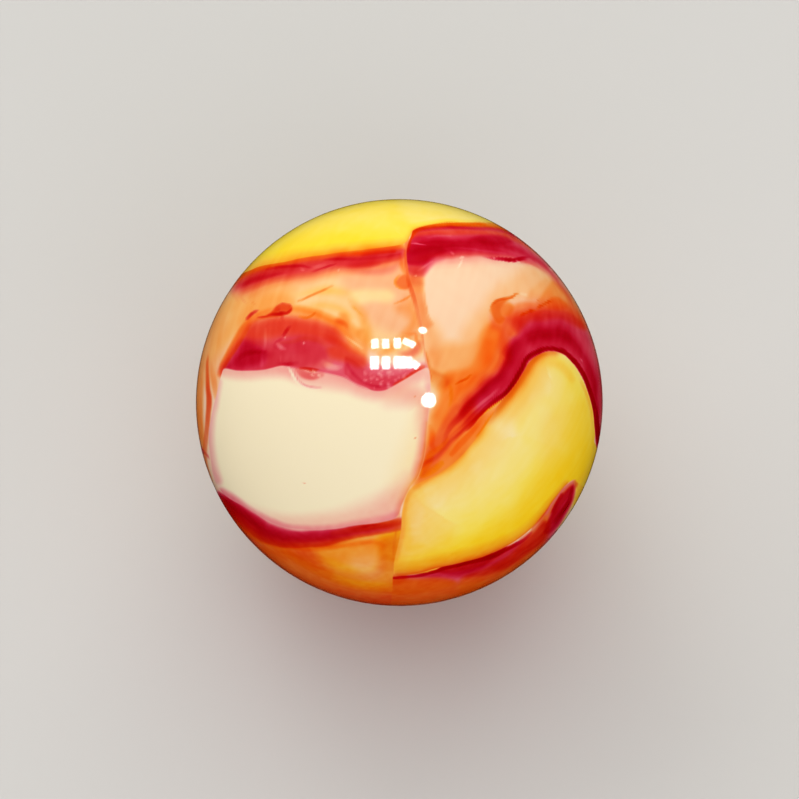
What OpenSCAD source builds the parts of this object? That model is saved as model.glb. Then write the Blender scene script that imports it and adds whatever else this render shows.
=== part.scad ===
// A machine-made glass marble: one solid ball in which opaque white, yellow and
// peach glass is swirled with orange and oxblood glass. The swirls are fields of
// glass that fill the ball between them, so it stays one solid with a plain
// round surface. Origin at the centre of the ball, +Z up from the point where
// it rests.

/* [Ball] */
// Diameter of the ball
ball_d = 16; // [12:0.5:25]

/* [Hidden] */

$fn = 96;

ball_r = ball_d / 2;

// The best face looks this far up from level, towards -Y.
face_tilt = 64;

// Points that a smoothed outline gets for each point it is drawn with.
span_steps = 5;

// Colours of the glass.
milk = "#f5e6c4";
lemon = "#f0cf4e";
peach = "#fdd0a0";
orange = "#fb8a34";
oxblood = "#b3122c";

// Outlines of the fields, in shares of the ball's radius: x to the right and y
// up, as seen straight on. A point more than 1 from the middle lies past the
// edge of the ball. A field lies behind those listed before it.
white_patch = [
    [-0.87, 0.17], [-0.68, 0.16], [-0.52, 0.16], [-0.30, 0.14], [-0.10, 0.05],
    [0.13, 0.16], [0.15, 0.00], [0.10, -0.35], [0.00, -0.56], [-0.30, -0.62],
    [-0.62, -0.59], [-0.86, -0.45], [-0.95, -0.15]
];
yellow_patch = [
    [0.62, 0.20], [0.70, 0.25], [0.80, 0.23], [0.90, 0.11], [0.97, -0.10],
    [0.97, -0.30], [0.90, -0.42], [0.78, -0.48], [0.62, -0.65], [0.40, -0.76],
    [0.18, -0.82], [-0.02, -0.86], [0.00, -0.62], [0.06, -0.42], [0.26, -0.33],
    [0.45, -0.08]
];
yellow_cap = [
    [-0.86, 0.62], [-0.62, 0.68], [-0.35, 0.72], [0.00, 0.78], [0.08, 0.86],
    [0.45, 0.88], [0.60, 0.98], [0.00, 1.30], [-0.86, 1.00]
];
peach_patch = [
    [0.12, 0.55], [0.30, 0.68], [0.60, 0.70], [0.74, 0.64], [0.88, 0.42],
    [0.66, 0.46], [0.50, 0.50], [0.42, 0.30], [0.22, 0.05], [0.15, 0.20]
];
left_patch = [
    [-0.85, 0.47], [-0.60, 0.60], [-0.20, 0.67], [0.02, 0.70], [0.06, 0.50],
    [0.10, 0.34], [-0.06, 0.26], [-0.30, 0.38], [-0.50, 0.48], [-0.70, 0.47],
    [-0.82, 0.30], [-0.92, 0.00], [-0.98, -0.20], [-1.04, 0.10]
];
top_ribbon = [
    [0.04, 0.62], [0.02, 0.84], [0.25, 0.88], [0.55, 0.88], [0.90, 0.70],
    [0.76, 0.65], [0.55, 0.71], [0.30, 0.70], [0.14, 0.60]
];
left_ribbon = [
    [-0.86, 0.18], [-0.80, 0.34], [-0.62, 0.42], [-0.40, 0.40], [-0.24, 0.26],
    [-0.10, 0.18], [0.12, 0.20], [0.06, 0.08], [-0.10, 0.00], [-0.40, 0.08]
];
right_ribbon = [
    [0.18, -0.25], [0.40, 0.08], [0.56, 0.36], [0.80, 0.40], [1.00, 0.15],
    [1.10, -0.25], [0.90, 0.05], [0.76, 0.20], [0.62, 0.10], [0.40, -0.15]
];
upper_vein = [
    [-0.92, 0.50], [-0.70, 0.60], [-0.35, 0.67], [0.04, 0.72], [0.04, 0.80],
    [-0.30, 0.74], [-0.62, 0.70], [-0.84, 0.64]
];
lower_vein = [
    [-0.93, -0.42], [-0.70, -0.48], [-0.30, -0.56], [0.02, -0.52], [0.00, -0.66],
    [-0.30, -0.71], [-0.62, -0.69], [-0.84, -0.60]
];
edge_ribbon = [
    [-0.02, -0.84], [0.30, -0.72], [0.72, -0.50], [0.90, -0.38], [0.86, -0.56],
    [0.60, -0.78], [0.25, -0.90]
];

// Each field has its outline and the colour of its glass.
best_face = [
    [white_patch, milk], [yellow_patch, lemon], [yellow_cap, lemon],
    [peach_patch, peach], [top_ribbon, oxblood], [left_ribbon, oxblood],
    [right_ribbon, oxblood], [upper_vein, oxblood], [lower_vein, oxblood],
    [edge_ribbon, oxblood], [left_patch, peach]
];

// Catmull-Rom curve through four points in a row, at share t of the middle span.
function span_point(a, b, c, d, t) =
    b + t * (c - a) / 2
      + t * t * (2 * a - 5 * b + 4 * c - d) / 2
      + t * t * t * (3 * b - a - 3 * c + d) / 2;

// The closed curve that runs smoothly through an outline's points.
function smooth(outline) = let (n = len(outline)) [
    for (i = [0:n - 1], k = [0:span_steps - 1])
        span_point(outline[(i + n - 1) % n], outline[i], outline[(i + 1) % n],
                   outline[(i + 2) % n], k / span_steps)
];

// What is drawn on the best face, carried back through the near half of the ball.
module behind_face() {
    rotate([90 - face_tilt, 0, 0])
        linear_extrude(height = ball_d)
            scale(ball_r)
                children();
}

// The parts of a field that the ones listed before it leave free.
module field_outline(i) {
    difference() {
        polygon(smooth(best_face[i][0]));
        for (j = [0:1:i - 1])
            polygon(smooth(best_face[j][0]));
    }
}

module field(i) {
    color(best_face[i][1])
        intersection() {
            sphere(d = ball_d);
            behind_face() field_outline(i);
        }
}

// The orange glass that carries every field.
module ground() {
    color(orange)
        difference() {
            sphere(d = ball_d);
            for (i = [0:len(best_face) - 1])
                behind_face() field_outline(i);
        }
}

module marble() {
    ground();
    for (i = [0:len(best_face) - 1])
        field(i);
}

marble();
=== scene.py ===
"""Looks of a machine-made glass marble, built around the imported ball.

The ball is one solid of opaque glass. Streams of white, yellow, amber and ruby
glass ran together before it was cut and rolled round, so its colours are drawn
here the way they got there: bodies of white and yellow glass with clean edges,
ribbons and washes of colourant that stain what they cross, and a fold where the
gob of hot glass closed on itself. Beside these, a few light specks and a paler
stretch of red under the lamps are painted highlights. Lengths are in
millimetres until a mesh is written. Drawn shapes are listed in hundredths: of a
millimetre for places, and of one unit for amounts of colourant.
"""

import logging
import math
from dataclasses import dataclass, field
from enum import Enum
from typing import Any, Mapping, Optional, Sequence

import bpy
import numpy as np
from mathutils import Matrix, Vector


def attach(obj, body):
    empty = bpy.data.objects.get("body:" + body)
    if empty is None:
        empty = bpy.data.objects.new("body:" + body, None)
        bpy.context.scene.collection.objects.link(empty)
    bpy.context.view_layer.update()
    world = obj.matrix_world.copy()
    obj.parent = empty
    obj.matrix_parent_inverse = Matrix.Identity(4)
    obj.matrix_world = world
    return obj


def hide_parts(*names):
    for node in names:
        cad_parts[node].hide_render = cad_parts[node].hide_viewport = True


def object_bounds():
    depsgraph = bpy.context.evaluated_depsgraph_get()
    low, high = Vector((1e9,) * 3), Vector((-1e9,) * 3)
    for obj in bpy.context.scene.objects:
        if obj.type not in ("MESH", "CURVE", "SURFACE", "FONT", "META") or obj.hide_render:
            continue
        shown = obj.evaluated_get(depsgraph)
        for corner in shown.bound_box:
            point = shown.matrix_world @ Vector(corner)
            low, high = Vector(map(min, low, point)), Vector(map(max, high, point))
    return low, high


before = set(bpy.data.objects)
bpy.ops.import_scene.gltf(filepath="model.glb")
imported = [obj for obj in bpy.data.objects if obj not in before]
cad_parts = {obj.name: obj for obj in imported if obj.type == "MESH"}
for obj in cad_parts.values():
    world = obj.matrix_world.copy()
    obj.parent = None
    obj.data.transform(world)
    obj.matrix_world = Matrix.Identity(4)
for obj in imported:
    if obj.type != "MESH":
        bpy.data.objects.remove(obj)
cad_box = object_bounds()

MM = 0.001
HUNDREDTH = 0.01
NODE = "marble"
BODY = "root"
BAKE_MAP = "OFBake"

# Floor under a length that is divided by, and a step off a line's only knot, in millimetres.
TINY = 1e-9
NUDGE = 1e-3
# How many pairs of a point and a segment are held at once.
PAIRS_AT_ONCE = 120_000
# Marks are measured a little past where they end: a share of their reach, or millimetres.
SLACK_SHARE = 1.1
SLACK = 0.1
# The most of a map's units that one radius takes up on it, with room to spare.
MAP_STRETCH = 3.0
# Where the noise for threads, their wander and the clouds starts on its lattice.
THREAD_START = (7.3, 31.7)
WANDER_START = (3.1, 11.3)
CLOUD_START = 30.0
# Numbers of the Mix node's sockets: its share, then two vectors or two colours, and its results.
MIX_SHARE = 0
MIX_VECTORS = (4, 5)
MIX_COLOURS = (6, 7)
MIXED_VECTOR = 1
MIXED_COLOUR = 2

Knots = Sequence[tuple[int, int, int, int]]
Places = Sequence[tuple[int, int]]
Tint = tuple[int, int, int]

log = logging.getLogger("marble")


class Side(Enum):
    """How a mark is laid out.

    NEAR and FAR keep its true sizes, on a map about the best face or the face
    behind it. SEEN keeps the sizes that an eye in front of the best face sees.
    The places of a FAR mark lie on the far side, as if seen through the ball.
    """

    NEAR = 1
    FAR = -1
    SEEN = 0


def linear(code: str) -> tuple[float, float, float]:
    """Turns an sRGB hex colour into linear light, by the two-part curve that defines sRGB.

    Args:
        code: The colour as six hex digits, with or without a leading #.

    Returns:
        Red, green and blue from 0 to 1 in linear light.
    """
    shares = [int(code.lstrip("#")[i : i + 2], 16) / 255 for i in (0, 2, 4)]
    return tuple(s / 12.92 if s <= 0.04045 else ((s + 0.055) / 1.055) ** 2.4 for s in shares)


def smoothstep(low: float, high: float, value: np.ndarray) -> np.ndarray:
    """The cubic 3t^2 - 2t^3 of a value's share t of the way from low to high.

    Args:
        low: Where the step starts.
        high: Where the step ends.
        value: The values to ease.

    Returns:
        Shares from 0 to 1, in the shape of value.
    """
    t = np.clip((value - low) / (high - low), 0.0, 1.0)
    return t * t * (3.0 - 2.0 * t)


@dataclass(frozen=True)
class Grain:
    """Smooth seeded noise: random heights at whole-number places, eased between by smoothstep."""

    seed: int
    cells: int = 64

    def at(self, u: np.ndarray, v: np.ndarray) -> np.ndarray:
        """The noise at places on the lattice, which repeats past its edge.

        Args:
            u: Places along the lattice's rows.
            v: Places along its columns.

        Returns:
            Heights from -1 to 1.
        """
        n = self.cells
        table = np.random.default_rng(self.seed).uniform(-1.0, 1.0, (n, n))
        iu, iv = np.floor(u).astype(int), np.floor(v).astype(int)
        su, sv = smoothstep(0.0, 1.0, u - iu), smoothstep(0.0, 1.0, v - iv)
        low = table[iu % n, iv % n] * (1 - su) + table[(iu + 1) % n, iv % n] * su
        high = table[iu % n, (iv + 1) % n] * (1 - su) + table[(iu + 1) % n, (iv + 1) % n] * su
        return low * (1 - sv) + high * sv


@dataclass(frozen=True)
class Face:
    """The ball as its best face is seen, which is how every mark on it is laid out.

    A mark's place is given in millimetres on a disc through the ball's centre,
    x to the right and y up, as an eye in front of the face sees it. Past the
    rim of the disc, a place runs on round the far side: it is as far back
    inside the rim there as it lies outside it.
    """

    radius: float
    tilt: float = 64.0
    eye: float = 240.0

    def axes(self) -> np.ndarray:
        """Rows: the face's right, its up, and the way towards the eye, in the part's axes."""
        c, s = math.cos(math.radians(self.tilt)), math.sin(math.radians(self.tilt))
        return np.array([[1.0, 0.0, 0.0], [0.0, s, c], [0.0, -c, s]])

    def rim(self) -> float:
        """The radius of the outline that the eye sees, which is R / sqrt(1 - (R / eye)^2)."""
        return self.radius / math.sqrt(1.0 - (self.radius / self.eye) ** 2)

    def lift(self, places: np.ndarray, side: Side = Side.NEAR) -> np.ndarray:
        """Carries places on the disc along the lines of sight onto the ball.

        The line from the eye (0, 0, e) through (x, y, 0) meets the ball where
        its share t of the way solves t^2 (q + e^2) - 2 t e^2 + e^2 - R^2 = 0,
        with q = x^2 + y^2. The lesser t is the near side and the greater the far side.

        Args:
            places: An N by 2 array of places on the disc.
            side: FAR if the disc is the far side, and its rim leads back to the near one.

        Returns:
            An N by 3 array of unit vectors in the face's own axes.
        """
        rim, reach = self.rim(), np.hypot(places[:, 0], places[:, 1])
        past = reach > rim
        inside = np.where(past, 2 * rim - reach, reach)
        far = past != (side is Side.FAR)
        flat = places * (inside / np.maximum(reach, TINY))[:, None]
        q, ee = (flat**2).sum(1), self.eye**2
        root = np.sqrt(np.maximum(ee * ee - (q + ee) * (ee - self.radius**2), 0.0))
        t = (ee + np.where(far, root, -root)) / (q + ee)
        points = np.column_stack([flat * t[:, None], self.eye * (1 - t)])
        return points / np.linalg.norm(points, axis=1, keepdims=True)

    def chart(self, unit: np.ndarray, side: Side) -> np.ndarray:
        """Flattens directions onto a map.

        About a face's axis, a direction (a, b, c) goes to 2 (a, b) / (1 + c),
        which keeps angles. As seen, it goes to its place on the disc, which
        undoes lift: R e (a, b) / (e - R c), and past the rim as far outside it.

        Args:
            unit: An N by 3 array of unit vectors in the face's own axes.
            side: How the map is laid out.

        Returns:
            An N by 2 array of places on the map, in millimetres where the map is as
            seen, and otherwise with the rim 2 from its middle.
        """
        if side is not Side.SEEN:
            depth = np.maximum(1.0 + side.value * unit[:, 2], TINY)
            return 2.0 * unit[:, :2] / depth[:, None]
        flat = unit[:, :2] * (self.radius * self.eye / (self.eye - self.radius * unit[:, 2:]))
        reach = np.maximum(np.hypot(flat[:, 0], flat[:, 1]), TINY)
        past = unit[:, 2] < self.radius / self.eye
        return flat * np.where(past, (2 * self.rim() - reach) / reach, 1.0)[:, None]

    def scale(self, chart: np.ndarray, side: Side) -> np.ndarray:
        """Millimetres for one unit of a map: 1 as seen, or R / (1 + r^2 / 4) at r from its middle.

        Args:
            chart: An N by 2 array of places on the map.
            side: How the map is laid out.

        Returns:
            One scale for each place.
        """
        if side is Side.SEEN:
            return np.ones(len(chart))
        return self.radius / (1.0 + (chart**2).sum(1) / 4.0)

    def margin(self, reach: float, side: Side) -> float:
        """How far a reach in millimetres can go on a map, in the map's units."""
        return reach if side is Side.SEEN else MAP_STRETCH * reach / self.radius


def catmull_rom(knots: np.ndarray, steps: int, closed: bool) -> np.ndarray:
    """Runs a smooth curve through knots.

    Between knots p1 and p2 the curve at share t is the cubic through both whose
    slope at each is half the way from the knot before it to the knot after it.

    Args:
        knots: An N by K array, one knot a row.
        steps: Points drawn for each span.
        closed: Whether the curve joins its own start.

    Returns:
        The curve's points, one a row. A closed curve doesn't repeat its first point.
    """
    if closed:
        p = np.vstack([knots[-1:], knots, knots[:2]])
    else:
        p = np.vstack([2 * knots[:1] - knots[1:2], knots, 2 * knots[-1:] - knots[-2:-1]])
    p0, p1, p2, p3 = (p[i : len(p) - 3 + i, None, :] for i in range(4))
    t = (np.arange(steps) / steps)[None, :, None]
    curve = p1 + t * (p2 - p0) / 2
    curve = curve + t**2 * (2 * p0 - 5 * p1 + 4 * p2 - p3) / 2
    curve = curve + t**3 * (3 * p1 - p0 - 3 * p2 + p3) / 2
    points = curve.reshape(-1, knots.shape[1])
    return points if closed else np.vstack([points, knots[-1:]])


@dataclass(frozen=True)
class Nearest:
    """What the nearest place on a line says about each point."""

    distance: np.ndarray
    left: np.ndarray
    along: np.ndarray
    beyond: np.ndarray


def nearest(points: np.ndarray, line: np.ndarray) -> Nearest:
    """Finds the nearest place on a line of straight segments for many points at once.

    A point's foot on a segment is the segment's start plus the share of it that
    the point projects to, held between 0 and 1.

    Args:
        points: An N by 2 array.
        line: An M by 2 array of the line's corners.

    Returns:
        Each point's distance, whether it lies left of the line, where its foot
        is, counted in segments, and how far past the line's ends it projects.
    """
    start, step = line[:-1], np.diff(line, axis=0)
    length2 = np.maximum((step**2).sum(1), TINY**2)
    last = len(start) - 1
    distance, left, along, beyond = (np.empty(len(points)) for _ in range(4))
    batch = max(1, PAIRS_AT_ONCE // len(start))
    for first in range(0, len(points), batch):
        part = slice(first, first + batch)
        away = points[part, None, :] - start[None]
        raw = (away * step).sum(2) / length2
        share = np.clip(raw, 0.0, 1.0)
        off = away - share[..., None] * step
        gap2 = (off**2).sum(2)
        best = gap2.argmin(1)
        row = np.arange(len(best))
        turn = step[best, 0] * away[row, best, 1] - step[best, 1] * away[row, best, 0]
        over = np.abs(raw[row, best] - share[row, best]) * np.sqrt(length2[best])
        over = np.where((best == 0) | (best == last), over, 0.0)
        distance[part] = np.sqrt(np.maximum(gap2[row, best] - over**2, 0.0))
        left[part] = turn > 0
        along[part] = best + share[row, best]
        beyond[part] = over
    return Nearest(distance, left, along, beyond)


def encloses(points: np.ndarray, ring: np.ndarray) -> np.ndarray:
    """Tells which points a closed ring holds, by counting the edges that a ray to +x crosses.

    Args:
        points: An N by 2 array.
        ring: An M by 2 array of the ring's corners, the last joined to the first.

    Returns:
        N true or false values.
    """
    low, high = ring, np.roll(ring, -1, axis=0)
    inside = np.zeros(len(points), bool)
    batch = max(1, PAIRS_AT_ONCE // len(ring))
    for first in range(0, len(points), batch):
        part = points[first : first + batch]
        spans = (low[:, 1] > part[:, 1:]) != (high[:, 1] > part[:, 1:])
        rise = np.where(high[:, 1] == low[:, 1], 1.0, high[:, 1] - low[:, 1])
        cross = low[:, 0] + (part[:, 1:] - low[:, 1]) * (high[:, 0] - low[:, 0]) / rise
        inside[first : first + batch] = (spans & (part[:, :1] < cross)).sum(1) % 2 == 1
    return inside


@dataclass(frozen=True)
class Outline:
    """A field with a smooth closed edge, drawn through places on the face."""

    places: Places
    side: Side = Side.NEAR
    steps: int = 8

    def depth(self, face: Face, unit: np.ndarray, reach: float = 1.2) -> np.ndarray:
        """How far inside the edge each point of the ball lies.

        Args:
            face: The face that the outline is drawn on.
            unit: An N by 3 array of directions in the face's axes.
            reach: Depths past this many millimetres are all given as this.

        Returns:
            Millimetres, above 0 inside the field and below 0 outside it.
        """
        places = np.array(self.places, float) * HUNDREDTH
        knots = face.chart(face.lift(places, self.side), self.side)
        ring = catmull_rom(knots, self.steps, closed=True)
        chart = face.chart(unit, self.side)
        margin = face.margin(reach, self.side)
        near = ((chart > ring.min(0) - margin) & (chart < ring.max(0) + margin)).all(1)
        depth = np.full(len(unit), -reach)
        if near.any():
            chart = chart[near]
            foot = nearest(chart, np.vstack([ring, ring[:1]]))
            scale = face.scale(chart, self.side)
            gap = np.minimum(np.hypot(foot.distance, foot.beyond) * scale, reach)
            depth[near] = np.where(encloses(chart, ring), gap, -gap)
        return depth


@dataclass(frozen=True)
class Streaks:
    """Threads drawn out along a stream, and the wander of its edges.

    depth is how much the strength varies from thread to thread, as a share.
    The rest is in millimetres: the threads' length and width and how far they
    push an edge, then how far the edge wanders, over which length and breadth.
    """

    seed: int
    depth: float = 0.2
    length: float = 2.5
    width: float = 0.13
    shift: float = 0.03
    wander: float = 0.04
    wave: float = 0.6
    breadth: float = 0.9


@dataclass(frozen=True)
class Trace:
    """How points lie against a drawn line: where along it, and how far to its left."""

    near: np.ndarray
    offset: np.ndarray
    beyond: np.ndarray
    strength: np.ndarray
    spread: np.ndarray
    run: np.ndarray


@dataclass(frozen=True)
class Spine:
    """A smooth line across the face. Each knot is x, y, a strength and a spread."""

    knots: Knots
    side: Side
    steps: int = 8

    def trace(self, face: Face, unit: np.ndarray, reach: float) -> Trace:
        """Measures points against the line.

        Args:
            face: The face that the line is drawn on.
            unit: An N by 3 array of directions in the face's axes.
            reach: How many millimetres off the line a spread of one matters.

        Returns:
            Which points are near, and for those alone where they lie.
        """
        knots = np.array(self.knots, float) * HUNDREDTH
        if len(knots) == 1:
            knots = np.vstack([knots, knots + [NUDGE, 0, 0, 0]])
        flat = face.chart(face.lift(knots[:, :2], self.side), self.side)
        curve = catmull_rom(np.column_stack([flat, knots[:, 2:]]), self.steps, closed=False)
        curve[:, 2:] = np.maximum(curve[:, 2:], [0.0, HUNDREDTH])
        line = curve[:, :2]
        chart = face.chart(unit, self.side)
        margin = face.margin(reach * curve[:, 3].max(), self.side)
        near = ((chart > line.min(0) - margin) & (chart < line.max(0) + margin)).all(1)
        chart = chart[near]
        foot = nearest(chart, line) if near.any() else Nearest(*(np.empty(0) for _ in range(4)))
        scale, place = face.scale(chart, self.side), np.arange(len(curve))
        middle = (line[1:] + line[:-1]) / 2
        legs = np.hypot(*np.diff(line, axis=0).T) * face.scale(middle, self.side)
        return Trace(
            near,
            foot.distance * scale * np.where(foot.left, 1.0, -1.0),
            foot.beyond * scale,
            np.interp(foot.along, place, curve[:, 2]),
            np.interp(foot.along, place, curve[:, 3]),
            np.interp(foot.along, place, np.concatenate([[0.0], np.cumsum(legs)])),
        )


def threaded(found: Trace, streaks: Optional[Streaks]) -> tuple[np.ndarray, np.ndarray]:
    """Draws threads out along a traced line.

    Args:
        found: The points against the line.
        streaks: The threads, if there are any.

    Returns:
        The points' offsets and strengths with the threads in them.
    """
    if streaks is None or not found.near.any():
        return found.offset, found.strength
    along, across = THREAD_START
    noise = Grain(streaks.seed).at(
        found.run / streaks.length + along, found.offset / streaks.width + across
    )
    along, across = WANDER_START
    wave = Grain(streaks.seed + 1).at(
        found.run / streaks.wave + along, found.offset / streaks.breadth + across
    )
    offset = found.offset + streaks.shift * noise + streaks.wander * wave
    return offset, found.strength * (1.0 + streaks.depth * noise)


@dataclass(frozen=True)
class Stroke:
    """One thread of colourant. A knot's spread is how far the stroke reaches to either side there.

    core is the share of that reach that keeps the full amount.
    """

    tint: Tint
    knots: Knots
    core: float = 0.3
    streaks: Optional[Streaks] = None
    side: Side = Side.SEEN

    def stains(self, face: Face, unit: np.ndarray) -> np.ndarray:
        """What the stroke leaves: its tint, less and less towards its reach.

        Args:
            face: The face that the stroke is drawn on.
            unit: An N by 3 array of directions in the face's axes.

        Returns:
            An N by 3 array of ruby, amber and lemon.
        """
        found = Spine(self.knots, self.side).trace(face, unit, SLACK_SHARE)
        offset, strength = threaded(found, self.streaks)
        fall = 1.0 - smoothstep(self.core, 1.0, np.hypot(offset, found.beyond) / found.spread)
        stains = np.zeros((len(unit), 3))
        stains[found.near] = (strength * fall)[:, None] * np.array(self.tint) * HUNDREDTH
        return stains


@dataclass(frozen=True)
class Ribbon:
    """Streams that ran side by side.

    Each band is how far to the left of the spine it lies, then its ruby, amber
    and lemon. Between bands the glass changes evenly, and past the first and
    last there is none. A knot's spread widens the bands there. fade is how many
    millimetres past its ends the ribbon dies away over.
    """

    knots: Knots
    bands: Sequence[tuple[int, int, int, int]]
    fade: float = 0.25
    streaks: Optional[Streaks] = None
    side: Side = Side.SEEN

    def stains(self, face: Face, unit: np.ndarray) -> np.ndarray:
        """What the ribbon leaves at each point.

        Args:
            face: The face that the ribbon is drawn on.
            unit: An N by 3 array of directions in the face's axes.

        Returns:
            An N by 3 array of ruby, amber and lemon.
        """
        bands = np.array(sorted(self.bands), float) * HUNDREDTH
        found = Spine(self.knots, self.side).trace(face, unit, np.abs(bands[:, 0]).max() + SLACK)
        offset, strength = threaded(found, self.streaks)
        strength = strength * (1.0 - smoothstep(0.0, self.fade, found.beyond))
        place = offset / found.spread
        stains = np.zeros((len(unit), 3))
        for i in range(3):
            amount = np.interp(place, bands[:, 0], bands[:, 1 + i], left=0.0, right=0.0)
            stains[found.near, i] = amount * strength
        return stains


@dataclass(frozen=True)
class Wash:
    """A soft-edged field of stained glass; blur is half the width of its edge in millimetres."""

    tint: Tint
    places: Places
    blur: float = 0.2
    side: Side = Side.SEEN
    steps: int = 6

    def stains(self, face: Face, unit: np.ndarray) -> np.ndarray:
        """What the wash leaves: its tint inside its outline, easing off across the edge.

        Args:
            face: The face that the wash is drawn on.
            unit: An N by 3 array of directions in the face's axes.

        Returns:
            An N by 3 array of ruby, amber and lemon.
        """
        outline = Outline(self.places, self.side, self.steps)
        depth = outline.depth(face, unit, self.blur * SLACK_SHARE)
        share = smoothstep(-self.blur, self.blur, depth)
        return share[:, None] * np.array(self.tint) * HUNDREDTH


@dataclass(frozen=True)
class Sparkles:
    """Tiny round specks scattered over a field; as drawn here, painted sparkle highlights where small pits
    and bubbles glint.

    size is their radius in millimetres, before each takes a multiple of it from
    sizes and a strength from forces. tries is how many spots are drawn for each
    speck, as some fall outside the field, and nearby is the cosine of the widest
    angle from their middle at which a point is looked at.
    """

    tint: Tint
    places: Places
    count: int
    size: float
    seed: int
    side: Side = Side.SEEN
    sizes: tuple[float, float] = (0.6, 1.5)
    forces: tuple[float, float] = (0.4, 1.0)
    tries: int = 4
    nearby: float = 0.5

    def stains(self, face: Face, unit: np.ndarray) -> np.ndarray:
        """What the specks leave: their tint, falling off as 1 - (d / r)^2 at distance d.

        Args:
            face: The face that the specks are drawn on.
            unit: An N by 3 array of directions in the face's axes.

        Returns:
            An N by 3 array of ruby, amber and lemon.
        """
        ring = np.array(self.places, float) * HUNDREDTH
        chance = np.random.default_rng(self.seed)
        spots = chance.uniform(ring.min(0), ring.max(0), (self.count * self.tries, 2))
        spots = spots[encloses(spots, ring)][: self.count]
        middles = face.lift(spots, self.side)
        reach = self.size * chance.uniform(*self.sizes, len(middles))
        force = chance.uniform(*self.forces, len(middles))
        near = unit @ middles.mean(0) > self.nearby
        gap2 = np.maximum(2.0 - 2.0 * unit[near] @ middles.T, 0.0) * face.radius**2
        share = (np.clip(1.0 - gap2 / reach**2, 0.0, 1.0) * force).max(1)
        stains = np.zeros((len(unit), 3))
        stains[near] = share[:, None] * np.array(self.tint) * HUNDREDTH
        return stains


Mark = Stroke | Ribbon | Wash | Sparkles


@dataclass(frozen=True)
class Pool:
    """One body of glass: its stain all over, its marks, and where it is clearer, some of that as painted
    highlights.

    wobble is how far its edges are shaken, in millimetres, by layers given as a
    patch size and a share of it. mottle is how much its stains vary, as a share,
    in clouds given as a patch size and a number. The numbers of two layers are
    apart by stride, and skew leans each cloud's lattice off the axes.
    """

    ground: Tint
    marks: Sequence[Mark]
    clear: Sequence[Mark] = ()
    wobble: float = 0.03
    layers: Sequence[tuple[float, float]] = ((0.9, 1.0), (0.33, 0.45))
    stride: int = 9
    mottle: float = 0.09
    clouds: Sequence[tuple[float, int]] = ((0.55, 31), (0.2, 32))
    skew: tuple[float, float] = (0.6, 0.4)
    seed: int = 3

    def cloud(self, unit: np.ndarray, radius: float, size: float, number: int) -> np.ndarray:
        """One layer of smooth noise over the ball.

        Args:
            unit: An N by 3 array of directions in the face's axes.
            radius: The ball's radius.
            size: About how many millimetres its patches measure.
            number: Which layer it is, for its seed and the axis that it looks along.

        Returns:
            N heights from -1 to 1.
        """
        at = unit * radius + CLOUD_START
        first, second, third = (at[:, (number + turn) % 3] for turn in range(3))
        u = (first + self.skew[0] * third) / size
        v = (second - self.skew[1] * third) / size
        return Grain(self.seed + number).at(u, v)

    def shaken(self, unit: np.ndarray, radius: float) -> np.ndarray:
        """Moves points a little by layers of smooth noise, so that no edge is drawn too true.

        Args:
            unit: An N by 3 array of directions in the face's axes.
            radius: The ball's radius.

        Returns:
            The moved directions, again of length one.
        """
        moved = unit.copy()
        for layer, (size, share) in enumerate(self.layers):
            for axis in range(3):
                shift = self.cloud(unit, radius, size, self.stride * layer + axis)
                moved[:, axis] += self.wobble * share / radius * shift
        return moved / np.linalg.norm(moved, axis=1, keepdims=True)

    def stains(self, face: Face, unit: np.ndarray) -> np.ndarray:
        """The stain vector at each point, with marks run together.

        Where marks cross, the stronger one rules: the joint amount is the cube
        root of the sum of the cubes of each mark's amount.

        Args:
            face: The face that the marks are drawn on.
            unit: An N by 3 array of directions in the face's axes.

        Returns:
            An N by 3 array of ruby, amber and lemon.
        """
        if not len(unit):
            return np.zeros((0, 3))
        unit = self.shaken(unit, face.radius)
        total = np.tile((np.array(self.ground) * HUNDREDTH) ** 3, (len(unit), 1))
        for mark in self.marks:
            total += mark.stains(face, unit) ** 3
        joint = np.cbrt(total)
        for mark in self.clear:
            joint *= np.clip(1.0 - mark.stains(face, unit), 0.0, 1.0)
        uneven = sum(self.cloud(unit, face.radius, size, number) for size, number in self.clouds)
        return joint * (1.0 + self.mottle * uneven[:, None])


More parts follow.
